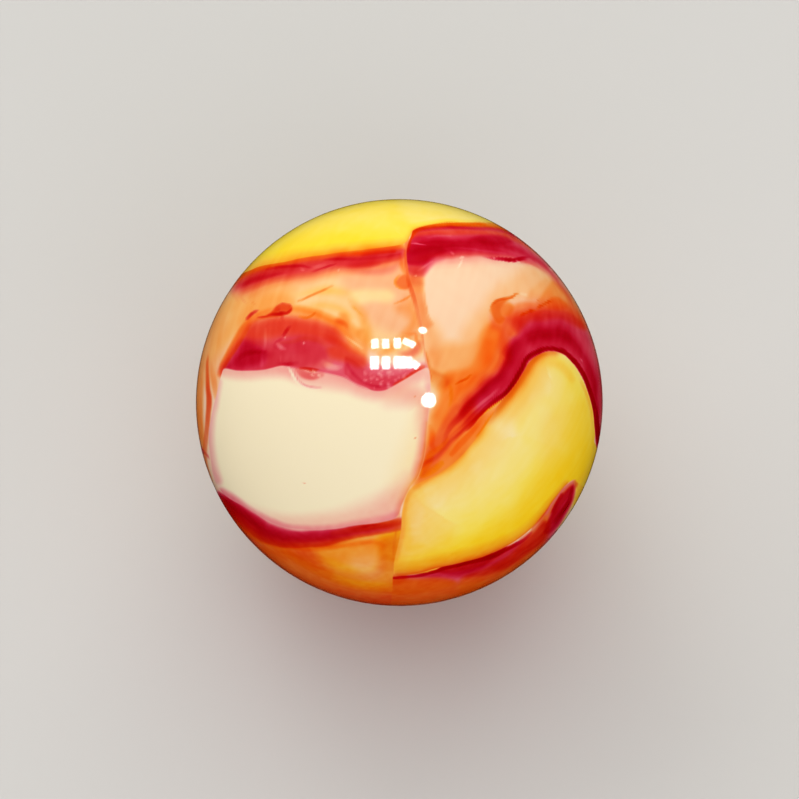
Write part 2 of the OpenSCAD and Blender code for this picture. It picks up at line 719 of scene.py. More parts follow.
@dataclass(frozen=True)
class SwirlPattern:
    """Where the glass of this marble is white, yellow, amber and ruby."""

    fold: Outline = Outline((
        (47, 730), (50, 670), (34, 623), (29, 580), (40, 495), (58, 442), (78, 364), (90, 309), (102, 199),
        (115, 136), (122, 80), (120, 10), (108, -108), (100, -206), (76, -287), (48, -323), (20, -380),
        (12, -427), (8, -492), (0, -541), (-16, -612), (-25, -690), (-32, -780), (-53, -908), (-173, -1080),
        (-810, -1080), (-1420, 0), (-608, 1170), (-57, 1047), (13, 900), (40, 790),
    ))

    milk: Sequence[Outline] = (
        Outline((
            (-688, 134), (-640, 127), (-590, 126), (-540, 129), (-505, 136), (-470, 145), (-440, 145),
            (-400, 141), (-350, 138), (-300, 128), (-250, 116), (-212, 108), (-178, 82), (-130, 60),
            (-110, 50), (-84, 46), (-55, 50), (-29, 63), (28, 96), (82, 128), (114, 134), (122, 80),
            (120, 10), (108, -108), (100, -206), (76, -287), (42, -335), (10, -400), (-10, -450),
            (-72, -472), (-174, -484), (-260, -498), (-371, -499), (-446, -492), (-522, -466), (-599, -415),
            (-686, -364), (-725, -310), (-742, -220), (-750, -128), (-736, -40), (-722, 20), (-710, 70),
            (-700, 110),
        )),
    )

    lemon: Sequence[Outline] = (
        Outline((
            (492, 128), (510, 157), (541, 184), (589, 202), (640, 193), (676, 162), (700, 130), (724, 86),
            (742, 40), (754, 2), (763, -40), (767, -85), (770, -130), (771, -165), (790, -210), (850, -300),
            (835, -360), (760, -350), (712, -322), (692, -302), (655, -325), (610, -380), (570, -435),
            (520, -494), (463, -540), (415, -568), (364, -592), (314, -612), (239, -631), (148, -651),
            (70, -672), (-10, -678), (-20, -640), (-16, -612), (0, -541), (8, -492), (12, -427), (30, -360),
            (62, -325), (160, -276), (242, -212), (322, -114), (361, -57), (386, -15), (409, 15), (435, 45),
            (463, 80),
        )),
        Outline((
            (-688, 474), (-640, 490), (-600, 515), (-550, 535), (-500, 545), (-450, 553), (-400, 565),
            (-350, 574), (-300, 580), (-250, 588), (-200, 594), (-150, 600), (-100, 606), (-50, 612),
            (0, 620), (28, 632), (42, 655), (56, 678), (90, 692), (130, 701), (180, 706), (240, 709),
            (310, 709), (370, 706), (420, 705), (446, 722), (480, 745), (400, 900), (0, 1040), (-420, 900),
            (-760, 600),
        )),
        Outline((
            (778, -190), (720, -216), (650, -236), (570, -250), (480, -246), (370, -216), (290, -170),
            (230, -130), (250, -195), (320, -280), (430, -335), (560, -340), (660, -320), (740, -290),
            (790, -260),
        ), Side.FAR),
    )

    left: Pool = Pool((7, 0, 8), (
        # Upper vein, under the yellow cap: three strands, and a paler skirt below them.
        Ribbon((
            (-672, 418, 0, 80), (-648, 440, 36, 90), (-618, 464, 84, 95), (-575, 485, 102, 96),
            (-530, 500, 102, 96), (-481, 513, 98, 100), (-430, 521, 96, 103), (-385, 529, 94, 105),
            (-330, 540, 90, 102), (-285, 548, 92, 98), (-220, 557, 96, 92), (-150, 564, 96, 90),
            (-90, 571, 98, 92), (-40, 580, 96, 88), (-5, 586, 90, 80), (15, 590, 60, 72), (28, 592, 20, 70),
        ), (
            (80, 10, 0, 170), (50, 24, 8, 178), (40, 36, 10, 185), (33, 42, 16, 165), (25, 48, 50, 90),
            (16, 72, 26, 60), (6, 84, 14, 45), (-4, 74, 16, 36), (-14, 62, 24, 26), (-23, 52, 26, 44),
            (-32, 34, 30, 34), (-42, 20, 30, 20), (-54, 14, 8, 40), (-70, 8, 0, 25), (-100, 0, 0, 0),
        ), streaks=Streaks(11, depth=0.12)),
        Stroke((100, 0, 0), (
            (-640, 450, 30, 14), (-615, 464, 70, 19), (-575, 480, 98, 22), (-530, 494, 96, 19),
            (-480, 506, 80, 14), (-440, 512, 40, 10),
        ), core=0.1),
        Stroke((100, 0, 0), (
            (-520, 526, 60, 11), (-470, 533, 98, 13), (-420, 536, 98, 13), (-385, 538, 95, 12),
            (-350, 530, 60, 9),
        ), core=0.1),
        Stroke((100, 0, 0), (
            (-290, 562, 60, 10), (-250, 564, 85, 12), (-200, 564, 88, 13), (-150, 566, 72, 12),
            (-100, 570, 76, 13), (-50, 575, 66, 12), (0, 586, 74, 12),
        ), core=0.1),
        Stroke((0, 82, 0), (
            (-225, 578, 60, 9), (-190, 582, 80, 10), (-160, 587, 110, 11), (-130, 588, 110, 11),
            (-95, 592, 70, 10), (-60, 593, 90, 11), (-20, 597, 80, 10),
        )),
        Stroke((100, 20, 0), (
            (-345, 515, 40, 6), (-310, 527, 78, 7), (-275, 538, 84, 7), (-245, 545, 50, 6),
        )),
        Stroke((62, 12, 0), (
            (-240, 542, 60, 20), (-190, 542, 100, 26), (-140, 546, 105, 28), (-90, 551, 95, 26),
            (-60, 558, 50, 20),
        ), core=0.1),
        Stroke((25, 5, 0), (
            (-240, 525, 60, 30), (-150, 520, 100, 38), (-80, 520, 100, 42), (-30, 530, 100, 40),
            (10, 560, 80, 30),
        ), core=0.0),
        Stroke((36, 16, 0), ((-304, 553, 40, 5), (-280, 546, 95, 6), (-255, 538, 40, 5))),
        Stroke((30, 0, 10), (
            (-390, 524, 60, 3), (-384, 530, 90, 4), (-374, 527, 90, 4), (-373, 517, 60, 3),
        )),
        # Amber and peach glass between the upper vein and the red patch.
        Stroke((16, 0, 34), (
            (-620, 430, 30, 12), (-580, 452, 95, 18), (-520, 474, 100, 18), (-470, 488, 60, 12),
        ), core=0.1),
        Stroke((0, 24, 0), (
            (-690, 345, 60, 35), (-655, 385, 85, 40), (-610, 415, 100, 42), (-560, 440, 100, 44),
            (-510, 460, 105, 42), (-465, 474, 110, 34), (-425, 484, 80, 26), (-395, 490, 40, 18),
        ), core=0.15),
        Wash((0, 31, 5), (
            (-840, 100), (-800, 300), (-720, 400), (-640, 440), (-540, 452), (-460, 458), (-420, 448),
            (-415, 430), (-430, 370), (-500, 340), (-600, 300), (-680, 200), (-720, 80),
        ), 0.42),
        Wash((0, 45, 0), (
            (-640, 330), (-620, 385), (-560, 420), (-480, 435), (-430, 425), (-415, 395), (-430, 370),
            (-500, 350), (-560, 320), (-610, 280),
        ), 0.3),
        Wash((0, 0, 33), (
            (-760, 150), (-730, 330), (-660, 440), (-560, 500), (-400, 520), (-200, 545), (40, 590),
            (70, 450), (110, 240), (60, 170), (-100, 200), (-250, 300), (-400, 350), (-560, 330),
            (-660, 240),
        ), 0.3),
        Wash((6, 16, 16), (
            (-800, 80), (-790, 200), (-760, 300), (-715, 380), (-690, 370), (-665, 320), (-680, 260),
            (-705, 190), (-720, 120), (-735, 60),
        ), 0.2),
        Stroke((10, 100, 0), (
            (-708, 110, 60, 16), (-690, 155, 95, 20), (-668, 195, 108, 22), (-642, 240, 110, 24),
            (-616, 285, 108, 27), (-585, 320, 92, 30), (-545, 343, 80, 30), (-500, 360, 66, 28),
            (-465, 372, 55, 24), (-420, 350, 50, 24), (-370, 340, 50, 22), (-330, 330, 40, 20),
        ), core=0.25),
        Stroke((0, 85, 0), (
            (-450, 370, 60, 24), (-400, 362, 95, 30), (-350, 350, 105, 34), (-300, 332, 105, 36),
            (-260, 312, 110, 38), (-225, 285, 100, 40), (-195, 250, 90, 36), (-165, 215, 80, 30),
            (-145, 190, 50, 24),
        ), core=0.1, streaks=Streaks(23)),
        Stroke((16, 110, 0), (
            (-262, 325, 50, 20), (-235, 318, 100, 26), (-212, 305, 80, 24), (-200, 285, 40, 18),
        ), core=0.0),
        Stroke((0, 12, 44), (
            (-380, 375, 50, 26), (-330, 380, 90, 34), (-270, 378, 100, 36), (-220, 362, 95, 30),
            (-185, 335, 70, 26),
        ), core=0.0),
        Stroke((0, 10, 60), (
            (-400, 425, 50, 30), (-340, 435, 80, 38), (-270, 440, 90, 40), (-200, 430, 60, 40),
        ), core=0.0),
        Stroke((20, 22, 80), (
            (-398, 400, 60, 7), (-355, 418, 100, 8), (-310, 436, 95, 8), (-265, 458, 50, 7),
        )),
        Stroke((0, 32, 30), (
            (-180, 400, 50, 30), (-150, 350, 90, 36), (-130, 300, 100, 36), (-120, 250, 90, 34),
            (-100, 215, 60, 30),
        ), core=0.0),
        Stroke((4, 45, 20), (
            (-70, 195, 60, 28), (-30, 215, 90, 30), (15, 250, 100, 34), (50, 300, 100, 32),
            (60, 350, 80, 28),
        ), core=0.0),
        Wash((0, 54, 5), (
            (-235, 348), (-205, 348), (-188, 312), (-160, 292), (-130, 292), (-120, 250), (-124, 190),
            (-150, 196), (-165, 245), (-205, 262), (-225, 300),
        ), 0.17),
        Wash((0, 64, 0), (
            (-280, 212), (-250, 226), (-200, 216), (-150, 200), (-128, 188), (-128, 150), (-160, 142),
            (-205, 160), (-262, 178),
        ), 0.17),
        Stroke((10, 58, 10), (
            (2, 580, 60, 12), (8, 555, 100, 16), (16, 528, 100, 16), (26, 500, 80, 14),
        ), core=0.0),
        Stroke((4, 40, 60), (
            (2, 502, 60, 6), (-12, 484, 100, 8), (-10, 462, 100, 8), (6, 450, 100, 7), (22, 452, 60, 6),
        )),
        Stroke((10, 52, 10), (
            (14, 276, 50, 10), (42, 270, 90, 12), (64, 272, 100, 12), (66, 246, 100, 12), (78, 222, 60, 10),
            (86, 200, 30, 9),
        ), core=0.1),
        Stroke((10, 14, 70), (
            (-190, 384, 30, 4), (-174, 372, 95, 6), (-157, 354, 105, 6), (-140, 338, 60, 5),
        )),
        Stroke((6, 6, 40), ((-206, 423, 40, 4), (-198, 402, 90, 5), (-187, 386, 50, 4))),
        Stroke((14, 14, 40), (
            (-662, 438, 40, 5), (-648, 418, 90, 6), (-634, 398, 60, 6), (-626, 384, 30, 5),
        )),
        Stroke((16, 14, 30), ((-628, 422, 40, 5), (-612, 404, 90, 6), (-598, 388, 40, 5))),
        Stroke((14, 10, 40), ((-588, 404, 40, 5), (-575, 394, 90, 6), (-563, 384, 40, 5))),
        Wash((12, 0, 0), (
            (-260, 520), (-100, 540), (30, 570), (60, 440), (100, 260), (0, 250), (-120, 300), (-190, 400),
        ), 0.5),
        Wash((22, 56, 40), (
            (-12, 470), (0, 494), (22, 506), (38, 490), (46, 462), (30, 446), (6, 449),
        ), 0.09),
        Wash((4, 34, 22), (
            (-10, 372), (14, 386), (46, 404), (66, 380), (88, 335), (108, 268), (92, 240), (62, 290),
            (34, 340),
        ), 0.3),
        Stroke((8, 46, 30), ((-20, 388, 50, 5), (2, 396, 90, 6), (24, 407, 100, 7), (42, 420, 80, 8))),
        Stroke((28, 52, 46), (
            (31, 640, 70, 14), (30, 612, 90, 16), (25, 580, 100, 17), (34, 520, 100, 18),
            (41, 475, 100, 18), (52, 440, 90, 18), (66, 390, 74, 18), (76, 350, 62, 18), (90, 300, 50, 16),
            (98, 230, 40, 12),
        ), core=0.3),
        Stroke((16, 26, 12), (
            (78, 350, 30, 10), (92, 305, 80, 14), (94, 262, 80, 14), (102, 205, 90, 15), (108, 168, 80, 14),
            (114, 140, 60, 12),
        )),
        Stroke((26, 20, 5), (
            (80, 235, 60, 30), (60, 205, 100, 36), (30, 190, 90, 30), (0, 195, 40, 24),
        ), core=0.0),
        # Red patch over the white one: orange at its edges, then vermilion, then crimson.
        Wash((46, 0, 0), (
            (-700, 110), (-672, 170), (-644, 226), (-614, 276), (-585, 310), (-530, 328), (-470, 338),
            (-420, 336), (-360, 326), (-300, 312), (-252, 292), (-222, 258), (-195, 220), (-165, 195),
            (-135, 175), (-110, 150), (-60, 140), (0, 140), (60, 145), (110, 140), (60, 60), (-80, 0),
            (-200, 40), (-400, 90), (-600, 90),
        ), 0.28),
        Wash((0, 74, 0), (
            (-620, 262), (-590, 310), (-530, 335), (-440, 345), (-360, 340), (-300, 320), (-240, 290),
            (-200, 240), (-170, 200), (-240, 215), (-310, 245), (-380, 262), (-450, 265), (-520, 248),
            (-580, 242),
        ), 0.26),
        Wash((0, 0, 27), (
            (-660, 130), (-540, 140), (-530, 200), (-580, 235), (-480, 245), (-400, 250), (-300, 245),
            (-270, 200), (-260, 150), (-330, 130), (-440, 135), (-540, 125),
        ), 0.16),
        Stroke((0, 0, 45), (
            (-480, 235, 60, 14), (-430, 240, 95, 17), (-370, 250, 100, 18), (-320, 240, 80, 16),
            (-295, 225, 40, 12),
        ), core=0.1),
        Wash((62, 0, 5), (
            (-700, 120), (-668, 178), (-640, 222), (-600, 254), (-560, 256), (-500, 250), (-450, 262),
            (-400, 270), (-350, 265), (-310, 255), (-290, 228), (-275, 195), (-285, 165), (-330, 140),
            (-400, 120), (-520, 100), (-640, 100),
        ), 0.3),
        Wash((48, 0, 0), (
            (-655, 140), (-628, 185), (-600, 220), (-520, 222), (-440, 244), (-380, 244), (-340, 225),
            (-350, 192), (-420, 182), (-500, 172), (-580, 140),
        ), 0.2),
        Wash((112, 0, 0), (
            (-685, 132), (-660, 180), (-636, 220), (-612, 248), (-580, 240), (-545, 218), (-510, 198),
            (-515, 175), (-545, 152), (-600, 126),
        ), 0.3),
        Stroke((0, 0, 60), (
            (-684, 145, 60, 8), (-655, 190, 100, 9), (-625, 240, 100, 9), (-596, 288, 60, 8),
        )),
        Stroke((120, 0, 0), (
            (-640, 165, 60, 14), (-610, 190, 100, 18), (-570, 197, 100, 15), (-530, 200, 80, 12),
        )),
        Stroke((30, 0, 0), ((-560, 160, 90, 20), (-600, 150, 90, 18))),
        Stroke((82, 0, 0), ((-470, 152, 60, 12), (-440, 150, 110, 14), (-400, 158, 60, 12))),
        Stroke((45, 55, 0), ((-300, 262, 60, 22), (-262, 242, 80, 24), (-238, 225, 60, 20))),
        # Its tail, under the lamps' reflection, where its red wash is painted paler: painted glare over the
        # red glass.
        Stroke((0, 74, 0), (
            (-275, 262, 60, 22), (-230, 235, 100, 28), (-190, 210, 100, 28), (-158, 194, 90, 22),
            (-138, 190, 40, 16),
        ), core=0.1),
        Wash((50, 0, 16), (
            (-216, 178), (-190, 175), (-165, 158), (-140, 138), (-110, 118), (-60, 106), (0, 112),
            (60, 126), (95, 130), (70, 60), (-60, 20), (-180, 50), (-218, 100),
        ), 0.09),
        Stroke((80, 0, 0), (
            (-205, 150, 70, 14), (-185, 120, 82, 16), (-150, 88, 78, 15), (-115, 70, 88, 15),
            (-80, 64, 88, 15), (-45, 72, 60, 13), (-10, 88, 40, 11),
        ), core=0.1),
        Stroke((20, 70, 10), ((-20, 70, 60, 10), (20, 92, 90, 11), (60, 120, 90, 12), (92, 140, 60, 12))),
        # Torn ends and folds of the red patch.
        Wash((44, 40, 70), (
            (-556, 330), (-520, 346), (-495, 364), (-475, 384), (-452, 390), (-430, 386), (-422, 368),
            (-434, 352), (-460, 340), (-500, 334),
        ), 0.06),
        Stroke((78, 12, 60), (
            (-560, 331, 25, 6), (-538, 336, 75, 7), (-520, 341, 55, 6), (-502, 346, 95, 8),
            (-484, 346, 120, 10), (-468, 350, 140, 12), (-450, 351, 110, 9), (-436, 358, 95, 8),
            (-426, 370, 60, 6),
        )),
        Stroke((40, 30, 40), (
            (-500, 360, 30, 6), (-486, 372, 90, 7), (-474, 384, 60, 6), (-458, 390, 95, 7),
            (-442, 390, 50, 6), (-430, 382, 80, 6),
        )),
        Stroke((40, 30, 20), ((-488, 358, 60, 7), (-474, 366, 110, 9), (-462, 376, 50, 6))),
        Stroke((52, 0, 20), ((-466, 350, 90, 9), (-460, 330, 70, 9), (-452, 312, 40, 8))),
        Stroke((40, 0, 20), ((-478, 344, 70, 8), (-486, 322, 40, 8))),
        Stroke((70, 40, 0), ((-600, 330, 60, 10), (-580, 350, 90, 10), (-560, 362, 50, 8))),
        Stroke((20, 14, 96), (
            (-395, 340, 60, 8), (-372, 334, 95, 9), (-350, 338, 95, 8), (-333, 352, 60, 7),
        )),
        Stroke((115, 0, 10), (
            (-424, 304, 20, 8), (-436, 296, 50, 10), (-446, 284, 75, 11), (-456, 268, 60, 10),
        )),
        Stroke((80, 0, 0), (
            (-458, 258, 40, 8), (-470, 248, 70, 9), (-484, 238, 75, 10), (-490, 222, 50, 9),
        )),
        Stroke((85, 0, 0), ((-500, 225, 40, 14), (-480, 215, 70, 12), (-455, 205, 40, 10))),
        # Left rim.
        Stroke((80, 0, 180), (
            (-752, 190, 10, 7), (-756, 150, 36, 8), (-755, 100, 45, 10), (-753, 55, 62, 13),
            (-748, 10, 66, 16), (-752, -50, 54, 15), (-757, -100, 42, 14), (-762, -150, 34, 14),
            (-764, -200, 30, 13), (-758, -255, 26, 12), (-740, -310, 22, 11),
        )),
        Stroke((0, 95, 0), (
            (-768, 220, 30, 20), (-780, 150, 50, 20), (-786, 50, 70, 22), (-788, -50, 85, 22),
            (-782, -130, 85, 20), (-775, -180, 40, 16),
        )),
        Stroke((10, 45, 20), (
            (-745, 170, 40, 14), (-738, 130, 75, 18), (-730, 90, 105, 20), (-726, 55, 90, 18),
            (-722, 20, 50, 12),
        )),
        # Lower vein, under the white patch.
        Ribbon((
            (-705, -362, 60, 40), (-680, -385, 110, 60), (-657, -410, 128, 80), (-620, -440, 125, 95),
            (-580, -470, 118, 100), (-530, -500, 110, 100), (-480, -520, 106, 100), (-440, -530, 104, 100),
            (-400, -533, 100, 98), (-340, -532, 98, 92), (-280, -526, 92, 88), (-230, -518, 88, 84),
            (-180, -508, 80, 78), (-130, -498, 72, 74), (-80, -489, 64, 72), (-40, -483, 56, 72),
            (0, -479, 50, 72), (30, -476, 46, 70),
        ), (
            (70, 0, 0, 0), (50, 6, 0, 0), (38, 14, 0, 0), (31, 38, 0, 0), (26, 70, 0, 5), (20, 94, 0, 6),
            (10, 118, 0, 12), (0, 132, 0, 18), (-8, 124, 0, 45), (-14, 110, 0, 60), (-22, 96, 0, 100),
            (-30, 82, 0, 140), (-38, 64, 10, 165), (-45, 22, 44, 120), (-54, 6, 40, 70), (-80, 0, 20, 50),
            (-110, 0, 0, 0),
        ), streaks=Streaks(31, depth=0.08)),
        Stroke((100, 0, 0), (
            (-190, -500, 30, 8), (-150, -492, 80, 10), (-110, -484, 90, 10), (-75, -480, 60, 8),
        )),
        Stroke((0, 0, 100), (
            (-260, -518, 60, 20), (-180, -502, 110, 22), (-100, -488, 140, 24), (-30, -479, 150, 26),
            (20, -474, 130, 26),
        ), core=0.2),
        # The far side, finished plainly: the cap's vein, amber glass and the lower vein run on.
        Ribbon((
            (-664, 446, 0, 60), (-645, 422, 84, 90), (-590, 394, 98, 105), (-500, 382, 100, 110),
            (-400, 434, 100, 100), (-260, 520, 96, 90), (-120, 555, 92, 86), (20, 560, 90, 84),
            (120, 560, 86, 84),
        ), (
            (50, 24, 8, 178), (38, 36, 12, 170), (25, 52, 50, 60), (14, 76, 30, 24), (0, 84, 10, 24),
            (-14, 62, 20, 20), (-30, 34, 30, 34), (-55, 14, 22, 30), (-90, 0, 20, 10), (-130, 0, 0, 0),
        ), streaks=Streaks(211, depth=0.12), side=Side.FAR),
        Wash((3, 44, 16), (
            (-690, 405), (-630, 370), (-540, 320), (-440, 300), (-380, 210), (-420, 110), (-520, 20),
            (-600, -90), (-680, -200), (-740, -255), (-768, -235), (-795, -100), (-800, 60), (-770, 225),
        ), 0.9, Side.FAR),
        Stroke((14, 60, 10), (
            (-780, 180, 40, 30), (-700, 190, 80, 50), (-600, 180, 100, 60), (-500, 120, 90, 60),
            (-430, 40, 60, 50), (-400, -40, 20, 40),
        ), core=0.0, streaks=Streaks(213), side=Side.FAR),
        Stroke((60, 14, 0), (
            (-790, -225, 60, 10), (-782, -190, 90, 16), (-760, -150, 90, 26), (-700, -100, 90, 34),
            (-620, -20, 84, 36), (-540, 90, 60, 34), (-470, 170, 30, 26), (-430, 240, 10, 18),
        ), core=0.1, streaks=Streaks(214), side=Side.FAR),
        Ribbon((
            (-735, -310, 90, 80), (-700, -360, 125, 95), (-640, -410, 120, 110), (-560, -445, 112, 120),
            (-460, -440, 108, 115), (-360, -405, 104, 105), (-260, -372, 100, 100), (-150, -360, 92, 95),
            (-40, -370, 90, 92),
        ), (
            (50, 6, 0, 0), (31, 38, 0, 0), (20, 94, 0, 6), (0, 128, 0, 18), (-14, 106, 0, 60),
            (-30, 80, 0, 130), (-45, 44, 44, 120), (-70, 14, 44, 70), (-130, 0, 20, 50), (-170, 0, 0, 0),
        ), streaks=Streaks(215, depth=0.1), side=Side.FAR),
        Wash((0, 58, 60), (
            (-710, -365), (-640, -420), (-560, -470), (-420, -460), (-260, -400), (-60, -380), (60, -390),
            (60, -798), (-160, -785), (-350, -720), (-500, -625), (-640, -480),
        ), 0.5, Side.FAR),
        Wash((38, 0, 90), (
            (-680, -420), (-620, -470), (-540, -530), (-400, -560), (-220, -520), (-60, -500), (60, -500),
            (60, -798), (-160, -785), (-350, -720), (-500, -625), (-640, -480),
        ), 0.8, Side.FAR),
        # Amber glass at the foot.
        Stroke((0, 100, 0), (
            (-460, -566, 30, 12), (-400, -576, 70, 17), (-340, -577, 98, 20), (-300, -574, 96, 22),
            (-250, -569, 96, 22), (-200, -562, 100, 24), (-150, -555, 104, 26), (-105, -552, 104, 28),
            (-65, -560, 50, 26),
        ), core=0.1, streaks=Streaks(33)),
        Wash((0, 60, 70), (
            (-420, -575), (-320, -565), (-220, -550), (-120, -540), (-65, -540), (-70, -620), (-90, -650),
            (-180, -655), (-270, -650), (-350, -625),
        ), 0.45),
        Wash((36, 0, 0), (
            (-690, -400), (-620, -470), (-540, -535), (-470, -560), (-400, -568), (-350, -580),
            (-290, -640), (-230, -690), (-160, -712), (-80, -716), (40, -704), (40, -860), (-300, -840),
            (-560, -690), (-720, -500),
        ), 0.36),
        Wash((44, 0, 0), (
            (-620, -480), (-560, -545), (-500, -600), (-440, -645), (-370, -688), (-300, -715),
            (-200, -736), (-100, -750), (40, -745), (40, -880), (-300, -850), (-560, -680), (-680, -520),
        ), 0.3),
        Wash((23, 0, 0), (
            (-440, -570), (-340, -585), (-270, -640), (-200, -660), (-100, -660), (-80, -600), (-75, -540),
            (40, -530), (40, -700), (-120, -720), (-260, -700), (-400, -650),
        ), 0.3),
        Wash((0, 0, 142), (
            (-560, -560), (-450, -575), (-390, -588), (-340, -598), (-260, -612), (-200, -640),
            (-110, -645), (-90, -590), (-90, -530), (40, -490), (40, -640), (40, -860), (-300, -840),
            (-560, -690), (-640, -600),
        ), 0.24),
        Stroke((0, 0, 100), (
            (-500, -560, 60, 16), (-460, -582, 140, 24), (-420, -605, 180, 28), (-370, -635, 190, 32),
            (-310, -665, 190, 34), (-250, -692, 190, 34), (-190, -712, 190, 34), (-130, -722, 190, 34),
            (-70, -728, 200, 38), (20, -730, 200, 40),
        ), core=0.2),
        Stroke((20, 12, 50), (
            (0, -440, 50, 9), (-8, -480, 90, 11), (-14, -530, 100, 11), (-20, -590, 90, 12),
            (-26, -640, 50, 10),
        ), core=0.1),
        Wash((12, 0, 20), (
            (-140, -705), (-80, -690), (40, -690), (40, -830), (-60, -830), (-140, -790),
        ), 0.35),
        Wash((0, 0, 165), (
            (-80, -540), (-50, -512), (40, -500), (40, -560), (40, -620), (-40, -630), (-70, -600),
        ), 0.18),
    ), clear=(
        Wash((0, 22, 46), (
            (-190, -612), (-150, -590), (-100, -592), (-72, -620), (-66, -665), (-100, -690), (-150, -680),
            (-182, -650),
        ), 0.26),
        Wash((62, 50, 5), (
            (-190, 436), (-150, 448), (-100, 445), (-40, 442), (-18, 418), (-40, 394), (-100, 396),
            (-150, 386), (-184, 402),
        ), 0.2),
        Stroke((45, 45, 45), ((-480, 232, 60, 10), (-468, 218, 100, 14), (-452, 212, 60, 10))),
        Stroke((65, 65, 65), ((-376, 234, 100, 8),)),
        Stroke((50, 50, 50), ((-452, 258, 100, 6),)),
        Stroke((18, 18, 18), (
            (-540, 210, 20, 8), (-541, 180, 100, 10), (-541, 150, 90, 9), (-541, 135, 20, 8),
        )),
        Stroke((25, 25, 25), (
            (-524, 290, 30, 8), (-526, 255, 100, 9), (-530, 220, 60, 8), (-533, 205, 20, 7),
        )),
        Stroke((18, 18, 18), ((-466, 190, 30, 6), (-467, 170, 100, 7), (-467, 150, 30, 6))),
        Stroke((55, 55, 55), (
            (-210, 262, 20, 6), (-190, 247, 80, 7), (-168, 230, 100, 8), (-148, 214, 60, 7),
        )),
        Stroke((45, 10, 0), (
            (-298, 160, 30, 14), (-278, 145, 100, 20), (-250, 138, 100, 18), (-232, 140, 40, 12),
        )),
        Stroke((30, 30, 30), ((-388, 530, 40, 6), (-380, 522, 100, 8))),
        Stroke((20, 20, 20), ((-350, 528, 40, 8), (-320, 538, 100, 10), (-290, 548, 40, 8))),
        Stroke((45, 45, 45), ((-238, 520, 100, 7),)),
        # Painted sparkle highlights under the lamps' reflection: light specks where tiny pits and bubbles
        # glint.
        Sparkles((55, 55, 55), (
            (-150, 150), (-130, 135), (-60, 128), (20, 128), (70, 125), (30, 100), (-20, 75), (-60, 50),
            (-110, 52), (-140, 80), (-150, 110),
        ), 34, 0.07, 4),
    ))

